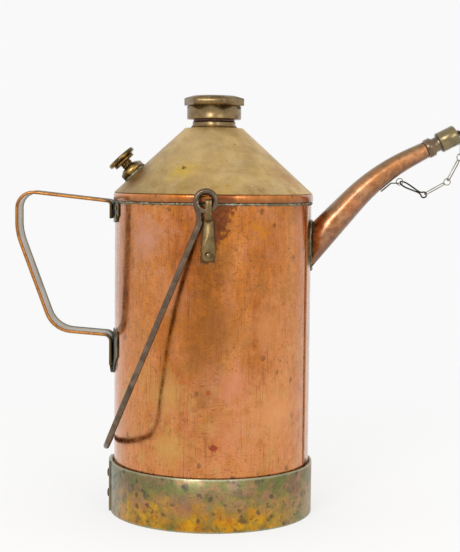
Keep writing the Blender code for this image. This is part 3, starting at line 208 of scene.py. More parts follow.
# Single patches on the front of the can: stains, and some painted light and shade. Each has the x
# and z of its middle, its radius, the radius of its full shade, its share and its shade. The can's
# radius there is the one that it would have at height 0, less the slope for each metre up. The edges
# are ragged in patches of 0.6 of the patch's radius, and of 8 mm at most.
def paintMarks(tree, place, color, marks, radiusAtZero, slope=0):
    for (x, z), radius, full, share, shade in marks:
        spot = (x, -sqrt((radiusAtZero - slope * z) ** 2 - x ** 2), z)
        far = addNode(tree, "VectorMath", {0: place, 1: spot}, operation="DISTANCE")
        uneven = wander(tree, place, min(radius * 600, 8), 0.4, 1.6, seed=73, detail=8)
        off = product(tree, far.outputs["Value"], uneven)
        mark = addNode(tree, "MapRange", {"Value": off, "From Min": radius, "From Max": full,
                                          "To Min": 0, "To Max": share})
        color = paintOver(tree, color, mark.outputs["Result"], shade)
    return color


# The same colour, lighter and darker
def shadeBy(tree, color, tones):
    for tone in tones:
        color = addNode(tree, "VectorMath", {0: color, "Scale": tone},
                        operation="SCALE").outputs["Vector"]
    return color


def finishMetal(tree, shader, color, roughness, height, depth, coat=0, coatRoughness=0.1):
    tree.links.new(color, shader.inputs["Base Color"])
    tree.links.new(roughness, shader.inputs["Roughness"])
    shader.inputs["Metallic"].default_value = 1
    shader.inputs["Coat Weight"].default_value = coat
    shader.inputs["Coat Roughness"].default_value = coatRoughness
    bump = addNode(tree, "Bump", {"Height": height, "Strength": 1, "Distance": depth / 1000})
    tree.links.new(bump.outputs["Normal"], shader.inputs["Normal"])


# Rolled copper sheet, aged and hand rubbed: a warm orange with pink and tan clouds, fine
# upright scratches and dark pits, under a thin film of old oil. Sizes are in mm.

copperSheet = {
    "shades": [(0.34, "#B05E14"), (0.44, "#BE6C1E"), (0.53, "#C87628"), (0.62, "#D2843E"),
               (0.74, "#C88030")],
    "drift": {"size": 34, "detail": 6, "roughness": 0.62, "distortion": 0.5},
    "driftStretch": (1, 1, 0.35),
    "tones": [{"size": 4, "low": 0.82, "high": 1.14, "seed": 3, "squeeze": (1, 1, 0.6)},
              {"size": 1.5, "low": 0.87, "high": 1.12, "seed": 5}],
    "drawn": {"size": 2.2, "low": 0.95, "high": 1.05, "seed": 7},
    "clouds": [
        # pink, tan and rust
        {"shade": "#DC8E66", "patches": {"size": 12, "start": 0.48, "end": 0.66, "high": 0.38,
                                         "seed": 11, "squeeze": (1, 1, 0.6), "detail": 8}},
        {"shade": "#A8722A", "patches": {"size": 16, "start": 0.52, "end": 0.68, "high": 0.4,
                                         "seed": 13, "squeeze": (1, 1, 0.6), "detail": 8}},
        {"shade": "#C86E08", "patches": {"size": 9, "start": 0.6, "end": 0.68, "high": 0.55,
                                         "seed": 17, "detail": 6}},
    ],
    "flecks": [
        {"shade": "#7A4820", "patches": {"size": 2.4, "start": 0.60, "end": 0.68, "high": 0.5,
                                         "seed": 67, "detail": 3}},
    ],
    "pits": [
        {"shade": "#5A2E14", "strength": 0.5,
         "spots": {"spacing": 8, "size": 2.0, "share": 0.6, "seed": 29}},
        {"shade": "#5A2E14", "strength": 0.6,
         "spots": {"spacing": 11, "size": 4.2, "share": 0.4, "seed": 23, "squeeze": (1, 1, 0.75)}},
        {"shade": "#96602C", "strength": 0.7,
         "spots": {"spacing": 11, "size": 2.6, "share": 0.4, "seed": 23, "squeeze": (1, 1, 0.75)}},
    ],
    "dents": {"size": 40, "start": 0.2, "end": 0.8, "seed": 53, "detail": 2},
    "dentDepth": 0.3,
    "oilRoughness": 0.1,
}

# The body is paler low down, a painted reflection of the white table. Its rim is smeared with solder
# and its foot is black with dirt.
lowTableReflection = {"axis": "Z", "start": 0.150, "end": 0.095, "high": 0.6, "ragged": 30, "size": 40,
           "seed": 59}
bodyCopper = {
    "drawnSqueeze": (1, 1, 0.03),
    "clouds": [
        # paler clouds low down: painted reflection of the table
        {"shade": "#DE9058", "ramps": [lowTableReflection],
         "patches": {"size": 9, "start": 0.40, "end": 0.60, "low": 0.3, "seed": 61, "detail": 6}},
        {"shade": "#C8984C", "ramps": [lowTableReflection],
         "patches": {"size": 13, "start": 0.54, "end": 0.64, "high": 0.9, "seed": 101,
                     "detail": 8}},
    ],
    "stains": [
        {"shade": "#58553E", "ramps": [{"axis": "Z", "start": 0.2358, "end": 0.2370, "high": 0.75,
                                        "ragged": 1.2, "size": 5, "seed": 41}]},
        {"shade": "#4E3820", "ramps": [{"axis": "Z", "start": 0.0400, "end": 0.0375, "high": 0.85,
                                        "ragged": 2.5, "size": 5, "seed": 43}]},
    ],
    "film": {"size": 12, "start": 0.35, "end": 0.65, "low": 0.17, "high": 0.33, "seed": 47,
             "detail": 6},
    "oil": 0.6,
}

# The shoulder's band has a dark run beside the lug and a darker lower edge.
bandCopper = {
    "drawnSqueeze": (1, 1, 0.03),
    "clouds": [],
    "stains": [
        {"shade": "#6A2814", "ramps": [{"axis": "X", "start": 0, "end": 0.004, "ragged": 1},
                                       {"axis": "X", "start": 0.018, "end": 0.015, "high": 0.7,
                                        "ragged": 2},
                                       {"axis": "Y", "start": -0.02, "end": -0.03}]},
        {"shade": "#7A4820", "ramps": [{"axis": "Z", "start": 0.2430, "end": 0.2395, "high": 0.6,
                                        "ragged": 0.8, "size": 5, "seed": 71}]},
    ],
    "film": {"size": 6, "start": 0.35, "end": 0.65, "low": 0.26, "high": 0.36, "seed": 47},
    "oil": 0.6,
}

# The spout is duller: rosy and brown clouds, and painted shade on its upper side and underneath, by
# how far it faces up.
spoutCopper = {
    "drawnSqueeze": (1, 1, 1),
    "clouds": [],
    "stains": [
        {"shade": "#B48A66", "patches": {"size": 10, "start": 0.40, "end": 0.62, "low": 0.25,
                                         "high": 0.7, "seed": 79, "detail": 6}},
        {"shade": "#7A4820", "patches": {"size": 5, "start": 0.42, "end": 0.64, "high": 0.7,
                                         "seed": 97, "detail": 8}},
    ],
    # painted shade on the upper side and underside: how far the surface faces up where each shade
    # starts and where it is full
    "sides": [("#74603A", 0.25, 0.70), ("#583620", -0.15, -0.60)],
    "sideShare": 0.65,
    "film": {"size": 6, "start": 0.35, "end": 0.65, "low": 0.33, "high": 0.42, "seed": 47},
    "oil": 0.9,
}

bodyStainsAndLight = {
    "scratches": {
        "shade": "#7E4218",
        "ways": (radians(0), radians(4), radians(82), radians(-58)),
        "length": 60,      # for one of width
        # wider than the real ones, so that they show
        "patches": {"size": 0.7, "start": 0.64, "end": 0.70, "high": 0.55, "seed": 19,
                    "detail": 1},
    },
    # stains, and two broad pale patches on the right, at x 0.047 and 0.040, which are painted light
    "marks": [((-0.0060, 0.1500), 0.030, 0, 0.70, "#A86016"),
              ((0.0120, 0.1440), 0.020, 0, 0.45, "#A86420"),
              ((-0.0100, 0.1260), 0.018, 0, 0.45, "#A2601E"),
              ((-0.0040, 0.0960), 0.012, 0, 0.55, "#96601E"),
              ((0.0470, 0.0850), 0.034, 0, 0.85, "#E49C62"),
              ((-0.0330, 0.1000), 0.020, 0, 0.75, "#CC9A50"),
              ((-0.0300, 0.0600), 0.020, 0, 0.85, "#CC9A4C"),
              ((0.0160, 0.1070), 0.018, 0, 0.80, "#DC8C66"),
              ((0.0180, 0.0700), 0.020, 0, 0.70, "#D8865C"),
              ((-0.0470, 0.2120), 0.020, 0, 0.80, "#CE9276"),
              ((-0.0300, 0.1750), 0.018, 0, 0.60, "#CE8A5E"),
              ((0.0400, 0.1500), 0.022, 0, 0.70, "#DC9256"),
              ((0.0022, 0.0618), 0.0030, 0.0022, 0.85, "#962410"),
              ((-0.0016, 0.1020), 0.0024, 0.0012, 0.7, "#A8481C"),
              ((0.0225, 0.0678), 0.0026, 0.0013, 0.6, "#C87A22"),
              ((0.0360, 0.2160), 0.0070, 0.002, 0.8, "#D07C0C"),
              ((0.0310, 0.2210), 0.0045, 0.002, 0.8, "#D07C0C")],
    # a dark run right of the lug, with a yellow edge: its side leans and is ragged
    "run": {
        "lean": 0.35,
        "ragged": {"size": 6, "low": -0.0085, "high": 0.0085, "seed": 33, "detail": 8},
        "edges": [(-0.0618, 0.75, "#CE8008"), (-0.0638, 0.9, "#6A2814")],
        "soft": 0.0025,
        "within": [{"axis": "Y", "start": -0.02, "end": -0.03},
                   {"axis": "X", "start": -0.002, "end": 0.0015},
                   {"axis": "Z", "start": 0.200, "end": 0.208, "ragged": 5, "size": 6,
                    "seed": 37}],
        "uneven": {"size": 3, "start": 0.35, "end": 0.6, "low": 0.7, "seed": 83, "detail": 6},
    },
    # solder squeezed out round the front lug's plate, painted dark brown as the shade along the
    # plate's edge too
    "lugSolderAndShade": {
        "shade": "#4E3820",
        "share": 0.75,
        "shift": -0.0005,
        "fullHalfWidth": 0.0050,
        "halfWidth": 0.0056,
        "wobble": {"size": 3, "low": -0.0008, "high": 0.0008, "seed": 89},
        "within": [{"axis": "Z", "start": 0.2300, "end": 0.2240},
                   {"axis": "Z", "start": 0.1950, "end": 0.1962, "ragged": 1.6, "size": 4,
                    "seed": 103}],
    },
}


def scratchBody(tree, place, color):
    look = bodyStainsAndLight["scratches"]
    for way in look["ways"]:
        turned = addNode(tree, "Mapping", {"Vector": place, "Location": (0.1 * way, 0, 0.1 * way),
                                           "Rotation": (0, way, 0),
                                           "Scale": (1, 1, look["length"])},
                         vector_type="TEXTURE")
        scratch = patches(tree, turned.outputs["Vector"], **look["patches"])
        color = paintOver(tree, color, scratch, look["shade"])
    return color


# Stains on the body, painted light among its marks, and painted shade round the lug's plate
def paintBodyStainsAndLight(tree, place, color):
    color = paintMarks(tree, place, color, bodyStainsAndLight["marks"], canShape["bodyRadius"])
    axes = addNode(tree, "SeparateXYZ", {"Vector": place})
    look = bodyStainsAndLight["run"]
    side = addNode(tree, "Math", {0: axes.outputs["Z"], 1: -look["lean"], 2: axes.outputs["X"]},
                   operation="MULTIPLY_ADD")
    side = addNode(tree, "Math", {0: side.outputs["Value"],
                                  1: wander(tree, place, **look["ragged"])}, operation="ADD")
    within = [reach(tree, place, **ramp) for ramp in look["within"]]
    within.append(patches(tree, place, **look["uneven"]))
    for edge, share, shade in look["edges"]:
        inside = addNode(tree, "MapRange", {"Value": side.outputs["Value"], "From Min": edge,
                                            "From Max": edge - look["soft"], "To Min": 0,
                                            "To Max": share})
        color = paintOver(tree, color, product(tree, inside.outputs["Result"], *within), shade)
    # solder round the front lug's plate, and painted shade along its edge
    look = bodyStainsAndLight["lugSolderAndShade"]
    lugLow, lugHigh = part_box("bail_lug_front")
    middle = (lugLow[0] + lugHigh[0]) / 2 + look["shift"]
    aside = addNode(tree, "Math", {0: axes.outputs["X"], 1: middle}, operation="SUBTRACT")
    aside = addNode(tree, "Math", {0: aside.outputs["Value"]}, operation="ABSOLUTE")
    aside = addNode(tree, "Math", {0: aside.outputs["Value"],
                                   1: wander(tree, place, **look["wobble"])}, operation="ADD")
    near = addNode(tree, "MapRange", {"Value": aside.outputs["Value"],
                                      "From Min": look["halfWidth"],
                                      "From Max": look["fullHalfWidth"], "To Min": 0,
                                      "To Max": look["share"]})
    within = [reach(tree, place, **ramp) for ramp in look["within"]]
    return paintOver(tree, color, product(tree, near.outputs["Result"], *within), look["shade"])


# Painted shade on the tube's upper side and underside, by how far it faces up
def shadeSpoutByFacing(tree, color):
    outward = addNode(tree, "TexCoord").outputs["Normal"]
    for shade, start, end in spoutCopper["sides"]:
        side = reach(tree, outward, "Z", start, end, spoutCopper["sideShare"])
        color = paintOver(tree, color, side, shade)
    return color


def makeCopper(name, own):
    look = copperSheet
    material, tree, shader, place = newMaterial(name)
    stretched = addNode(tree, "Mapping", {"Vector": place, "Scale": look["driftStretch"]})
    color = clouds(tree, stretched.outputs["Vector"], look["shades"], **look["drift"])
    tones = [wander(tree, place, **tone) for tone in look["tones"]]
    tones.append(wander(tree, place, squeeze=own["drawnSqueeze"], **look["drawn"]))
    color = shadeBy(tree, color, tones)
    color = paintCoats(tree, place, color, look["clouds"] + own["clouds"] + look["flecks"])
    if own is bodyCopper:
        color = scratchBody(tree, place, color)
    color = paintCoats(tree, place, color, look["pits"])
    if own is bodyCopper:
        color = paintBodyStainsAndLight(tree, place, color)
    color = paintCoats(tree, place, color, own["stains"])
    if own is spoutCopper:
        color = shadeSpoutByFacing(tree, color)
    film = patches(tree, place, **own["film"])
    dents = patches(tree, place, **look["dents"])
    finishMetal(tree, shader, color, film, dents, look["dentDepth"], own["oil"],
                look["oilRoughness"])
    return material


# Sheet, turned and cast brass and steel wire: a few shades that run into each other, darker in
# specks, with a little oil. The spout's cap and collar get a painted shadow at their near ends.
# Sizes in mm.

metalFinishes = {
    "dullBrassSheet": {"shades": [(0.34, "#B08C58"), (0.47, "#C2A06A"), (0.56, "#C8A873"),
                                  (0.70, "#C09A60")],
                       "patch": 26, "fine": 1.4, "specks": "#8A6A3A", "roughness": 0.4},
    "turnedBrass": {"shades": [(0.32, "#66563C"), (0.48, "#806A48"), (0.60, "#90784E"),
                               (0.72, "#786044")],
                    "patch": 9, "fine": 1.4, "specks": "#4E3A22", "roughness": 0.3},
    "spoutBrass": {"shades": [(0.32, "#62563A"), (0.48, "#7A6A44"), (0.60, "#88784C"),
                              (0.72, "#746248")],
                   "patch": 12, "fine": 1.6, "specks": "#4A3B24", "roughness": 0.32,
                   "oil": 1, "shadedEnd": "spout_cap", "endShade": "#1C150B"},
    "collarBrass": {"shades": [(0.32, "#564632"), (0.48, "#6C563C"), (0.60, "#7E6444"),
                               (0.72, "#76664A")],
                    "patch": 8, "fine": 1.4, "specks": "#3A2C1C", "roughness": 0.32,
                    "oil": 1, "shadedEnd": "spout_collar", "endShade": "#241A0E"},
    "darkenedBrass": {"shades": [(0.34, "#4A3A26"), (0.48, "#705A36"), (0.58, "#94763F"),
                                 (0.70, "#A8864A")],
                      "patch": 7, "fine": 1.2, "specks": "#2E2216", "roughness": 0.3},
    "solderedBrass": {"shades": [(0.32, "#403E2C"), (0.46, "#585238"), (0.58, "#6C6446"),
                                 (0.72, "#827C62")],
                      "patch": 6, "fine": 0.9, "specks": "#33301F", "roughness": 0.4},
    "lugBrass": {"shades": [(0.32, "#5A4A30"), (0.46, "#76603E"), (0.58, "#8C7448"),
                            (0.72, "#82755A")],
                 "patch": 9, "fine": 1.0, "specks": "#40331F", "roughness": 0.3},
    "brownWire": {"shades": [(0.32, "#524436"), (0.48, "#685646"), (0.60, "#7C6854"),
                             (0.72, "#766258")],
                  "patch": 9, "fine": 0.8, "specks": "#33271F", "roughness": 0.3},
    "fineWire": {"shades": [(0.32, "#6A6254"), (0.48, "#8C8472"), (0.60, "#A69E8A"),
                            (0.72, "#B8B09A")],
                 "patch": 3, "fine": 0.6, "specks": "#40382C", "roughness": 0.3},
    "blackWire": {"shades": [(0.32, "#1E1914"), (0.48, "#2E261E"), (0.60, "#40352A"),
                             (0.72, "#54463A")],
                  "patch": 3, "fine": 0.6, "specks": "#15110D", "roughness": 0.35},
}
metalFilm = {
    "oil": 0.2,
    "oilRoughness": 0.22,
    "dentDepth": 0.008,
    "endShadeFull": 0.0008,    # how far the painted shadow at the near end of a turned piece reaches
    "endShadeReach": 0.0014,
    "endShadeShare": 0.85,
}


def makeMetal(name):
    look = metalFinishes[name]
    material, tree, shader, place = newMaterial(name)
    color = clouds(tree, place, look["shades"], look["patch"], distortion=0.4)
    specks = patches(tree, place, look["fine"], 0.58, 0.74, high=0.6, seed=3)
    color = paintOver(tree, color, specks, look["specks"])
    # Painted shadow in the gap at the near end of the spout's cap and of its collar
    if "shadedEnd" in look:
        heading = (cos(canShape["tipHeading"]), 0, sin(canShape["tipHeading"]))
        end = min(vert.co.dot(heading) for vert in frame["nodes"][look["shadedEnd"]].data.vertices)
        along = addNode(tree, "VectorMath", {0: place, 1: heading}, operation="DOT_PRODUCT")
        endShade = addNode(tree, "MapRange", {"Value": along.outputs["Value"],
                                          "From Min": end + metalFilm["endShadeReach"],
                                          "From Max": end + metalFilm["endShadeFull"],
                                          "To Min": 0, "To Max": metalFilm["endShadeShare"]})
        color = paintOver(tree, color, endShade.outputs["Result"], look["endShade"])
    rough = wander(tree, place, look["fine"] * 3, look["roughness"] - 0.02,
                   look["roughness"] + 0.08, seed=5)
    grain = wander(tree, place, look["fine"] * 4, seed=7)
    finishMetal(tree, shader, color, rough, grain, metalFilm["dentDepth"],
                look.get("oil", metalFilm["oil"]), metalFilm["oilRoughness"])
    return material


# Thin brass sheet of the cone: khaki and dull, yellower low down, pinkish grey streaks and fine
# strokes of a brush round the cone, with painted shade on the handle's side and near both edges

brassCone = {
    "shades": [(0.34, "#BA9A62"), (0.46, "#CCAB73"), (0.56, "#D8B980"), (0.68, "#CCAA6C")],
    "drift": {"size": 30, "detail": 6, "distortion": 0.4},
    "coats": [
        # yellow, grey, brown, painted shade on the handle's side and spots
        {"shade": "#C8A04A", "ramps": [{"axis": "Z", "start": 0.285, "end": 0.262}],
         "patches": {"size": 16, "start": 0.46, "end": 0.66, "high": 0.45, "seed": 3,
                     "detail": 8}},
        {"shade": "#B6A286", "patches": {"size": 18, "start": 0.50, "end": 0.76, "high": 0.35,
                                         "seed": 5, "detail": 6}},
        {"shade": "#A67C46", "ramps": [{"axis": "Z", "start": 0.262, "end": 0.247}],
         "patches": {"size": 11, "start": 0.52, "end": 0.66, "high": 0.6, "seed": 7,
                     "detail": 6}},
        {"shade": "#90784A", "ramps": [{"axis": "X", "start": -0.018, "end": -0.056, "high": 0.8,
                                        "ragged": 8, "size": 12, "seed": 29}],
         "patches": {"size": 14, "start": 0.3, "end": 0.7, "low": 0.75, "seed": 31}},
        {"shade": "#5A4430", "strength": 0.6,
         "spots": {"spacing": 9, "size": 1.6, "share": 0.4, "seed": 11}},
    ],
    # the brown marks near the left and right edges, at x -0.060 and 0.056, are painted shade
    "marks": [((-0.0230, 0.2610), 0.0130, 0, 0.75, "#D6B23C"),
              ((-0.0212, 0.2634), 0.0020, 0.0012, 0.8, "#5E4420"),
              ((-0.0600, 0.2520), 0.0140, 0, 0.6, "#9C6A3A"),
              ((0.0560, 0.2560), 0.0160, 0, 0.7, "#B0783C"),
              ((0.0280, 0.2700), 0.0120, 0, 0.5, "#A8885C")],
    # the strokes are coarser than the real ones, so that they show
    "tones": [{"size": 1.6, "low": 0.93, "high": 1.06, "seed": 13},
              {"size": 3, "low": 0.93, "high": 1.05, "seed": 17, "squeeze": (0.12, 0.12, 1)}],
    "rough": {"size": 6, "low": 0.36, "high": 0.48, "seed": 19},
    "dents": {"size": 9, "seed": 23},
    "dentDepth": 0.12,
}


# Brass band, stained by water and heat: grey green at the top, gold and orange lower down, with
# purple clouds and dark spots, and pale grey at its left end, a painted reflection of the white
# backdrop

goldZone = [
    {"axis": "Z", "start": 0.026, "end": 0.008, "high": 0.95, "ragged": 12, "size": 14, "seed": 3},
    {"axis": "X", "start": 0.064, "end": 0.034, "ragged": 10, "size": 14, "seed": 59},
]
bandStainsAndPaintedReflection = {
    "shades": [(0.34, "#7E7650"), (0.46, "#8E7C4A"), (0.54, "#98844C"), (0.64, "#7E7E56"),
               (0.74, "#9A7C44")],
    "drift": {"size": 13, "detail": 6, "roughness": 0.62, "distortion": 0.8},
    "coats": [
        # tan on the spout's side, gold and orange low down
        {"shade": "#A88A50", "ramps": [{"axis": "X", "start": -0.012, "end": 0.012, "high": 0.85,
                                        "ragged": 12, "size": 14, "seed": 61}],
         "patches": {"size": 12, "start": 0.30, "end": 0.55, "seed": 67, "detail": 6}},
        {"shade": "#D89E1A", "ramps": goldZone},
        {"shade": "#BE701C", "ramps": goldZone,
         "patches": {"size": 12, "start": 0.42, "end": 0.62, "high": 0.8, "seed": 7,
                     "detail": 6}},
        # grey green above, then green, purple and rose clouds
        {"shade": "#6E7044", "ramps": [{"axis": "Z", "start": 0.022, "end": 0.030, "high": 0.75,
                                        "ragged": 5, "size": 8, "seed": 5}]},
        {"shade": "#66743E", "patches": {"size": 11, "start": 0.46, "end": 0.70, "high": 0.8,
                                         "seed": 11, "detail": 6}},
        {"shade": "#8C6058", "ramps": [{"axis": "Z", "start": 0.010, "end": 0.018}],
         "patches": {"size": 12, "start": 0.48, "end": 0.68, "high": 0.6, "seed": 13,
                     "detail": 6}},
        {"shade": "#B07A5E", "ramps": [{"axis": "Z", "start": 0.008, "end": 0.016}],
         "patches": {"size": 9, "start": 0.48, "end": 0.68, "high": 0.7, "seed": 17,
                     "detail": 6}},
        # painted reflection of the backdrop on the left end, black clouds and spots, and pale lines
        # along the top and bottom edges
        {"shade": "#8C8C7C", "ramps": [{"axis": "X", "start": -0.060, "end": -0.074, "high": 0.7,
                                        "ragged": 3, "size": 9, "seed": 41}]},
        {"shade": "#3E3C38", "patches": {"size": 6, "start": 0.54, "end": 0.66, "high": 0.65,
                                         "seed": 53, "detail": 6}},
        {"shade": "#3E3C38", "strength": 0.65,
         "spots": {"spacing": 9, "size": 4.5, "share": 0.35, "seed": 19}},
        {"shade": "#3E3C38", "strength": 0.6,
         "spots": {"spacing": 6, "size": 1.8, "share": 0.25, "seed": 23}},
        {"shade": "#A6A68A", "ramps": [{"axis": "Z", "start": 0.0380, "end": 0.0392, "high": 0.8,
                                        "ragged": 0.5, "size": 6, "seed": 43}]},
        {"shade": "#A6A68A", "ramps": [{"axis": "Z", "start": 0.0016, "end": 0.0006, "high": 0.8,
                                        "ragged": 0.5, "size": 6, "seed": 47}]},
    ],
    "tones": [{"size": 2, "low": 0.84, "high": 1.14, "seed": 29}],
    "rough": {"size": 6, "low": 0.34, "high": 0.50, "seed": 31},
    "dents": {"size": 20, "seed": 37},
    "dentDepth": 0.12,
    "oil": 0.2,
    "oilRoughness": 0.2,
}


# Tinned copper strip with wired edges: the tin is worn off the front bead, which shows brown
# copper, and gone grey on the web and the rear bead

frontBead = {"axis": "Y", "start": -0.0112, "end": -0.0122, "high": 0.95, "ragged": 0.4,
             "size": 6, "seed": 3}
tinnedStrip = {
    "shades": [(0.34, "#8E8272"), (0.48, "#A29884"), (0.60, "#AC9E8C"), (0.72, "#988672")],
    "drift": {"size": 12},
    "coats": [
        {"shade": "#B47A3E", "ramps": [frontBead]},
        {"shade": "#7A4E28", "ramps": [frontBead],
         "patches": {"size": 7, "start": 0.5, "end": 0.66, "high": 0.7, "seed": 7}},
        # the rear bead, and the ends on the body, which are black with solder
        {"shade": "#6E7066", "ramps": [{"axis": "Y", "start": 0.0110, "end": 0.0120, "high": 0.9,
                                        "ragged": 0.5, "size": 6, "seed": 5}]},
        {"shade": "#4C4838", "ramps": [{"axis": "X", "start": -0.0835, "end": -0.0795,
                                        "high": 0.85, "ragged": 2, "size": 5, "seed": 11}]},
    ],
    "tones": [{"size": 2, "low": 0.9, "high": 1.08, "seed": 13}],
    "rough": {"size": 4, "low": 0.26, "high": 0.40, "seed": 17},
    "dents": {"size": 3, "seed": 19},
    "dentDepth": 0.05,
}


# Soft solder, wiped and weathered: dull grey with brown dirt in its hollows

softSolder = {
    "shades": [(0.34, "#55523E"), (0.48, "#7A765E"), (0.60, "#9C9884"), (0.72, "#B4B0A0")],
    "drift": {"size": 4, "detail": 4},
    "coats": [],
    "tones": [],
    "rough": {"size": 2, "low": 0.38, "high": 0.58, "seed": 3},
    "dents": {"size": 1.5, "seed": 5},
    "dentDepth": 0.15,
}


def makeWorn(name, look):
    material, tree, shader, place = newMaterial(name)
    color = clouds(tree, place, look["shades"], **look["drift"])
    color = paintCoats(tree, place, color, look["coats"])
    color = paintMarks(tree, place, color, look.get("marks", ()), canShape["coneRadius"],
                       canShape["coneSlope"])
    color = shadeBy(tree, color, [wander(tree, place, **tone) for tone in look["tones"]])
    rough = wander(tree, place, **look["rough"])
    dents = wander(tree, place, **look["dents"])
    finishMetal(tree, shader, color, rough, dents, look["dentDepth"], look.get("oil", 0),
                look.get("oilRoughness", 0.1))
    return material


# Oil soaked leather: dull, very dark red-brown, with a fine pore

leatherWasher = {
    "shades": [(0.35, "#3A1E18"), (0.65, "#8A5648")],
    "pore": 0.8,           # mm
    "poreDepth": 0.0002,
    "roughness": 0.55,
}


def makeLeather():
    look = leatherWasher
    material, tree, shader, place = newMaterial("leatherWasher")
    pores = addNode(tree, "TexNoise", {"Vector": place, "Scale": perMetre(look["pore"]),
                                       "Detail": 3})
    color = addNode(tree, "ValToRGB", {"Fac": pores.outputs["Fac"]}, stops=look["shades"])
    tree.links.new(color.outputs["Color"], shader.inputs["Base Color"])
    shader.inputs["Roughness"].default_value = look["roughness"]
    bump = addNode(tree, "Bump", {"Height": pores.outputs["Fac"], "Strength": 0.5,
                                  "Distance": look["poreDepth"]})
    tree.links.new(bump.outputs["Normal"], shader.inputs["Normal"])
    return material


finishes = {name: makeMetal(name) for name in metalFinishes}
for name, own in (("bodyCopper", bodyCopper), ("plainCopper", bandCopper),
                  ("spoutCopper", spoutCopper)):
    finishes[name] = makeCopper(name, own)
for name, look in (("brassConeSheet", brassCone), ("brassBandStainsAndPaintedReflection", bandStainsAndPaintedReflection),
                   ("tinnedCopperStrip", tinnedStrip), ("softSolder", softSolder)):
    finishes[name] = makeWorn(name, look)
finishes["leatherWasher"] = makeLeather()
print("materials made")


# The pieces: each CAD node in the list below gets a welded, smooth surface of the same shape

surfaces = {
    "body_shell": "bodyCopper",
    "shoulder_ring": "plainCopper",
    "spout_tube": "spoutCopper",
    "bottom_plate": "dullBrassSheet",
    "base_ring": "brassBandStainsAndPaintedReflection",
    "base_ring_rivet_1": "solderedBrass",
    "base_ring_rivet_2": "solderedBrass",
    "shoulder_cone": "brassConeSheet",
    "filler_neck": "turnedBrass",
    "filler_cap": "turnedBrass",
    "filler_cap_seal": "leatherWasher",
    "vent_boss": "darkenedBrass",
    "vent_screw": "darkenedBrass",
    "vent_valve_washer": "leatherWasher",
    "bail": "brownWire",
    "bail_lug_front": "lugBrass",
    "bail_lug_back": "lugBrass",
    "lug_rivet_front": "lugBrass",
    "lug_rivet_back": "lugBrass",
    "handle": "tinnedCopperStrip",
    "handle_foot_top": "solderedBrass",
    "handle_foot_bottom": "solderedBrass",
    "handle_rivet_1": "darkenedBrass",
    "handle_rivet_2": "darkenedBrass",
    "handle_rivet_3": "darkenedBrass",
    "handle_rivet_4": "darkenedBrass",
    "spout_collar": "collarBrass",
    "spout_cap": "spoutBrass",
    "spout_cap_seal": "leatherWasher",
    "cap_swivel": "blackWire",
    "chain_anchor": "solderedBrass",
    "chain_ring": "fineWire",
    "chain_link_2": "fineWire",
    "chain_link_3": "fineWire",
}
surfaceSettings = {
    "weld": 0.00001,
    "sharp": radians(35),
    # round faces with holes, by how far they lean out from upright
    "round": {"shoulder_cone": canShape["coneLean"], "body_shell": radians(90)},
    "roundMatch": 0.97,    # a face belongs to the round one where its normal is this close
}
bodyOf = {}
for bodyName, members in frame["record"]["behaviour"]["bodies"].items():
    for member in members:
        bodyOf[member] = bodyName


# Round faces that a hole cuts into slivers still shade as one
def trueNormals(mesh, lean):
    wanted = []
    for corner, given in zip(mesh.loops, mesh.corner_normals):
        spot = mesh.vertices[corner.vertex_index].co
        outwards = Vector((spot.x, spot.y, 0)).normalized()
        ideal = outwards * sin(lean) + Vector((0, 0, cos(lean)))
        close = ideal.dot(given.vector) > surfaceSettings["roundMatch"]
        wanted.append(ideal if close else given.vector)
    mesh.normals_split_custom_set(wanted)


# A welded, smooth shaded copy of a CAD node, which stands for it
def soften(node, material, body):
    mesh = frame["nodes"][node].data.copy()
    mesh.name = node + "Surface"
    shape = bmesh.new()
    shape.from_mesh(mesh)
    bmesh.ops.remove_doubles(shape, verts=shape.verts, dist=surfaceSettings["weld"])
    shape.to_mesh(mesh)
    shape.free()
    mesh.shade_smooth()
    mesh.set_sharp_from_angle(angle=surfaceSettings["sharp"])
    if node in surfaceSettings["round"]:
        trueNormals(mesh, surfaceSettings["round"][node])
    mesh.materials.clear()
    mesh.materials.append(material)
    piece = bpy.data.objects.new(node + "Surface", mesh)
    bpy.context.scene.collection.objects.link(piece)
    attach(piece, body)
    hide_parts(node)


for node, finish in surfaces.items():
    soften(node, finishes[finish], bodyOf[node])
print("surfaces made")


# Solder: uneven beads along the joints, which are only gaps between the CAD solids

solderBeads = {
    "wireFaces": 8,
    "waves": 320,          # bumps to the metre
    "ripple": 0.3,         # share of finer bumps, three to each coarse one
    "thinnest": 0.3,
    "shoulder": {"radius": 0.0751, "wire": 0.00085, "height": 0.2374, "steps": 300,
                 "uneven": 0.9},
    "spout": {"radius": 0.0124, "wire": 0.0013, "root": (canShape["bodyRadius"], 0, 0.20545),
              "steps": 90, "uneven": 0.8},
    "vent": {"radius": 0.0090, "wire": 0.0010, "foot": (-0.0600, 0, 0.25895), "steps": 60,
             "uneven": 0.8},
}


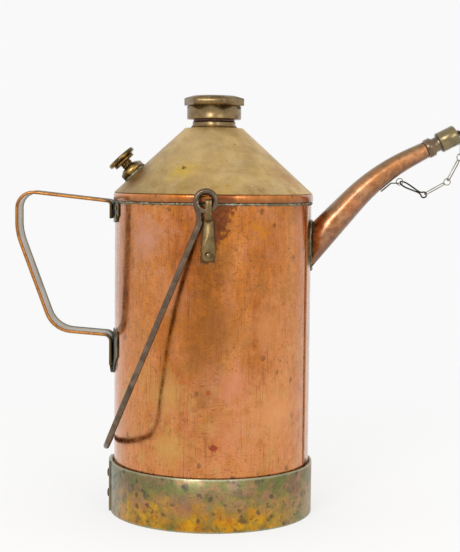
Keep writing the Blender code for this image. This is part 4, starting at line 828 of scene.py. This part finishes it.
def makeBead(name, place, follow=None):
    look = solderBeads[name]
    waves = solderBeads["waves"]
    shape = bmesh.new()
    bmesh.ops.create_circle(shape, segments=solderBeads["wireFaces"], radius=look["wire"],
                            matrix=Matrix.Translation((look["radius"], 0, 0))
                            @ Matrix.Rotation(pi / 2, 4, "X"))
    bmesh.ops.spin(shape, geom=shape.verts[:] + shape.edges[:], cent=(0, 0, 0), axis=(0, 0, 1),
                   angle=2 * pi, steps=look["steps"], use_merge=True)
    bmesh.ops.remove_doubles(shape, verts=shape.verts, dist=surfaceSettings["weld"])
    bmesh.ops.recalc_face_normals(shape, faces=shape.faces)
    for vert in shape.verts:
        middle = Vector((vert.co.x, vert.co.y, 0)).normalized() * look["radius"]
        thick = 1 + look["uneven"] * noise.noise(middle * waves)
        thick += solderBeads["ripple"] * look["uneven"] * noise.noise(vert.co * waves * 3)
        vert.co = middle + (vert.co - middle) * max(thick, solderBeads["thinnest"])
        if follow:
            vert.co.z += follow(middle)
    bmesh.ops.transform(shape, matrix=place, verts=shape.verts)
    mesh = bpy.data.meshes.new(name + "Solder")
    shape.to_mesh(mesh)
    shape.free()
    mesh.shade_smooth()
    mesh.materials.append(finishes["softSolder"])
    bead = bpy.data.objects.new(name + "Solder", mesh)
    bpy.context.scene.collection.objects.link(bead)
    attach(bead, bodyOf["body_shell"])


# How far along the spout a point of its root lies on the body's side
def onBody(middle):
    body = canShape["bodyRadius"]
    heading = canShape["spoutHeading"]
    depth = sqrt(body ** 2 - middle.y ** 2) - body - sin(heading) * middle.x
    return depth / cos(heading)


makeBead("shoulder", Matrix.Translation((0, 0, solderBeads["shoulder"]["height"])))
makeBead("spout", Matrix.Translation(solderBeads["spout"]["root"])
         @ Matrix.Rotation(pi / 2 - canShape["spoutHeading"], 4, "Y"), onBody)
makeBead("vent", Matrix.Translation(solderBeads["vent"]["foot"])
         @ Matrix.Rotation(-canShape["coneLean"], 4, "Y"))
print("solder made")


# First link of the chain: a heavier loop of bent wire that hangs on the ring and is pinched
# before its eye, on which the next link hangs

firstLink = {
    # x and z of the pivots on the ring and on the next link
    "from": (0.142214, 0.254442),
    "to": (0.160827, 0.244692),
    "wire": 0.0006,
    # along, across and towards the back, as shares of the span: the loop leans, so that one
    # side passes before the ring and one behind it, and the eye lies flat
    "path": [(0.02, 0, 0), (0.05, 0.045, 0.046), (0.14, 0.076, 0.074), (0.28, 0.082, 0.064),
             (0.45, 0.064, 0.032), (0.65, 0.036, 0.012), (0.80, 0.018, 0.006),
             (0.900, 0.041, 0), (0.959, 0.100, 0), (1.041, 0.100, 0), (1.100, 0.041, 0)],
}


def makeFirstLink():
    look = firstLink
    start = Vector((look["from"][0], 0, look["from"][1]))
    run = Vector((look["to"][0], 0, look["to"][1])) - start
    across = Vector((-run.z, 0, run.x))
    back = Vector((0, run.length, 0))
    outline = look["path"] + [(along, -off, -deep) for along, off, deep in look["path"][:0:-1]]
    curve = bpy.data.curves.new("chainLinkLoop", "CURVE")
    curve.dimensions = "3D"
    curve.bevel_depth = look["wire"]
    curve.bevel_resolution = 3
    curve.resolution_u = 4
    spline = curve.splines.new("NURBS")
    spline.points.add(len(outline) - 1)
    for point, (along, off, deep) in zip(spline.points, outline):
        point.co = (*(start + run * along + across * off + back * deep), 1)
    spline.use_cyclic_u = True
    spline.order_u = 3
    curve.materials.append(finishes["blackWire"])
    link = bpy.data.objects.new("chainLinkLoop", curve)
    bpy.context.scene.collection.objects.link(link)
    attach(link, bodyOf["chain_link_1"])
    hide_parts("chain_link_1")


makeFirstLink()
print("chain link made")


# Studio: a white table and backdrop, soft light all round, and the darker room behind the
# camera, which the copper reflects

studio = {
    "table": "#F8F8F6",
    "tableHalf": 6,
    "tableFront": -1.0,
    "tableRoughness": 0.9,
    "tableSpecular": 0.1,
    "backdrop": 0.947,
    "tableShown": 0.72,    # how much of the table near the can is seen as plain backdrop
    "tableNear": 0.35,     # how far from the can that share starts to rise, to 1 where it is far
    "tableFar": 0.9,
    "sky": 1.0,            # what lights the table, against what metal reflects
    "room": 0.62,
    "roomWay": radians(-5),
    "roomInner": radians(10),
    "roomOuter": radians(30),
    "ceiling": 0.88,       # how bright the metal sees it, against the walls
    "ceilingStart": 0.5,   # how far up the ceiling starts and where it is full, as heights
    "ceilingFull": 0.85,   # on a sphere of radius 1
    "aimHeight": 0.16,
    "lamps": [
        {"name": "key", "place": (0.62, -1.25, 0.68), "size": (0.3, 0.5), "power": 2.5},
        {"name": "fill", "place": (-0.44, -1.25, 0.80), "size": (0.5, 0.5), "power": 7},
    ],
}


def makeTable():
    look = studio
    shape = bmesh.new()
    bmesh.ops.create_grid(shape, x_segments=1, y_segments=1, size=look["tableHalf"])
    bmesh.ops.translate(shape, verts=shape.verts,
                        vec=(0, look["tableHalf"] + look["tableFront"], 0))
    mesh = bpy.data.meshes.new("table")
    shape.to_mesh(mesh)
    shape.free()
    material, tree, shader, place = newMaterial("whiteTable")
    shader.inputs["Base Color"].default_value = hexColor(look["table"])
    shader.inputs["Roughness"].default_value = look["tableRoughness"]
    shader.inputs["Specular IOR Level"].default_value = look["tableSpecular"]
    shown = addNode(tree, "Emission", {"Color": (1, 1, 1, 1), "Strength": look["backdrop"]})
    path = addNode(tree, "LightPath").outputs
    seen = addNode(tree, "Math", {0: path["Is Camera Ray"], 1: path["Is Glossy Ray"]},
                   operation="ADD")
    seen = addNode(tree, "Math", {0: seen.outputs["Value"], 1: path["Is Transmission Ray"]},
                   operation="ADD", use_clamp=True)
    away = addNode(tree, "VectorMath", {0: place}, operation="LENGTH")
    away = addNode(tree, "MapRange", {"Value": away.outputs["Value"],
                                      "From Min": look["tableNear"], "From Max": look["tableFar"],
                                      "To Min": look["tableShown"], "To Max": 1})
    share = product(tree, seen.outputs["Value"], away.outputs["Result"])
    both = addNode(tree, "MixShader", {0: share, 1: shader.outputs["BSDF"],
                                       2: shown.outputs["Emission"]})
    tree.links.new(both.outputs["Shader"], tree.nodes["Material Output"].inputs["Surface"])
    mesh.materials.append(material)
    table = bpy.data.objects.new("table", mesh)
    bpy.context.scene.collection.objects.link(table)


# White all round for the camera. The metal sees a darker room in front and a darker ceiling.
def makeWorld():
    look = studio
    world = bpy.data.worlds.new("studio")
    bpy.context.scene.world = world
    world.use_nodes = True
    tree = world.node_tree
    background = tree.nodes["Background"]
    background.inputs["Color"].default_value = (1, 1, 1, 1)
    path = addNode(tree, "LightPath").outputs
    way = addNode(tree, "TexCoord").outputs["Generated"]
    roomMiddle = (sin(look["roomWay"]), -cos(look["roomWay"]), 0)
    front = addNode(tree, "VectorMath", {0: way, 1: roomMiddle}, operation="DOT_PRODUCT")
    room = addNode(tree, "MapRange", {"Value": front.outputs["Value"],
                                      "From Min": cos(look["roomOuter"]),
                                      "From Max": cos(look["roomInner"]), "To Min": 1,
                                      "To Max": look["room"]}, interpolation_type="SMOOTHSTEP")
    seen = addNode(tree, "Math", {0: path["Is Glossy Ray"], 1: path["Is Transmission Ray"]},
                   operation="ADD", use_clamp=True)
    above = reach(tree, way, "Z", look["ceilingStart"], look["ceilingFull"])
    ceiling = addNode(tree, "Mix", {0: above, 2: 1.0, 3: look["ceiling"]})
    around = addNode(tree, "Mix", {0: seen.outputs["Value"], 2: look["sky"],
                                   3: ceiling.outputs[0]})
    lit = product(tree, room.outputs["Result"], around.outputs[0])
    strength = addNode(tree, "Mix", {0: path["Is Camera Ray"], 2: lit, 3: 1.0})
    final = product(tree, strength.outputs[0], look["backdrop"])
    tree.links.new(final, background.inputs["Strength"])


def makeLamp(look):
    light = bpy.data.lights.new(look["name"], "AREA")
    light.shape = "RECTANGLE"
    light.size, light.size_y = look["size"]
    light.energy = look["power"]
    lamp = bpy.data.objects.new(look["name"], light)
    aim = Vector(look["place"]) - Vector((0, 0, studio["aimHeight"]))
    lamp.matrix_world = (Matrix.Translation(look["place"])
                         @ aim.to_track_quat("Z", "Y").to_matrix().to_4x4())
    bpy.context.scene.collection.objects.link(lamp)


makeTable()
makeWorld()
for lampLook in studio["lamps"]:
    makeLamp(lampLook)
print("studio set")
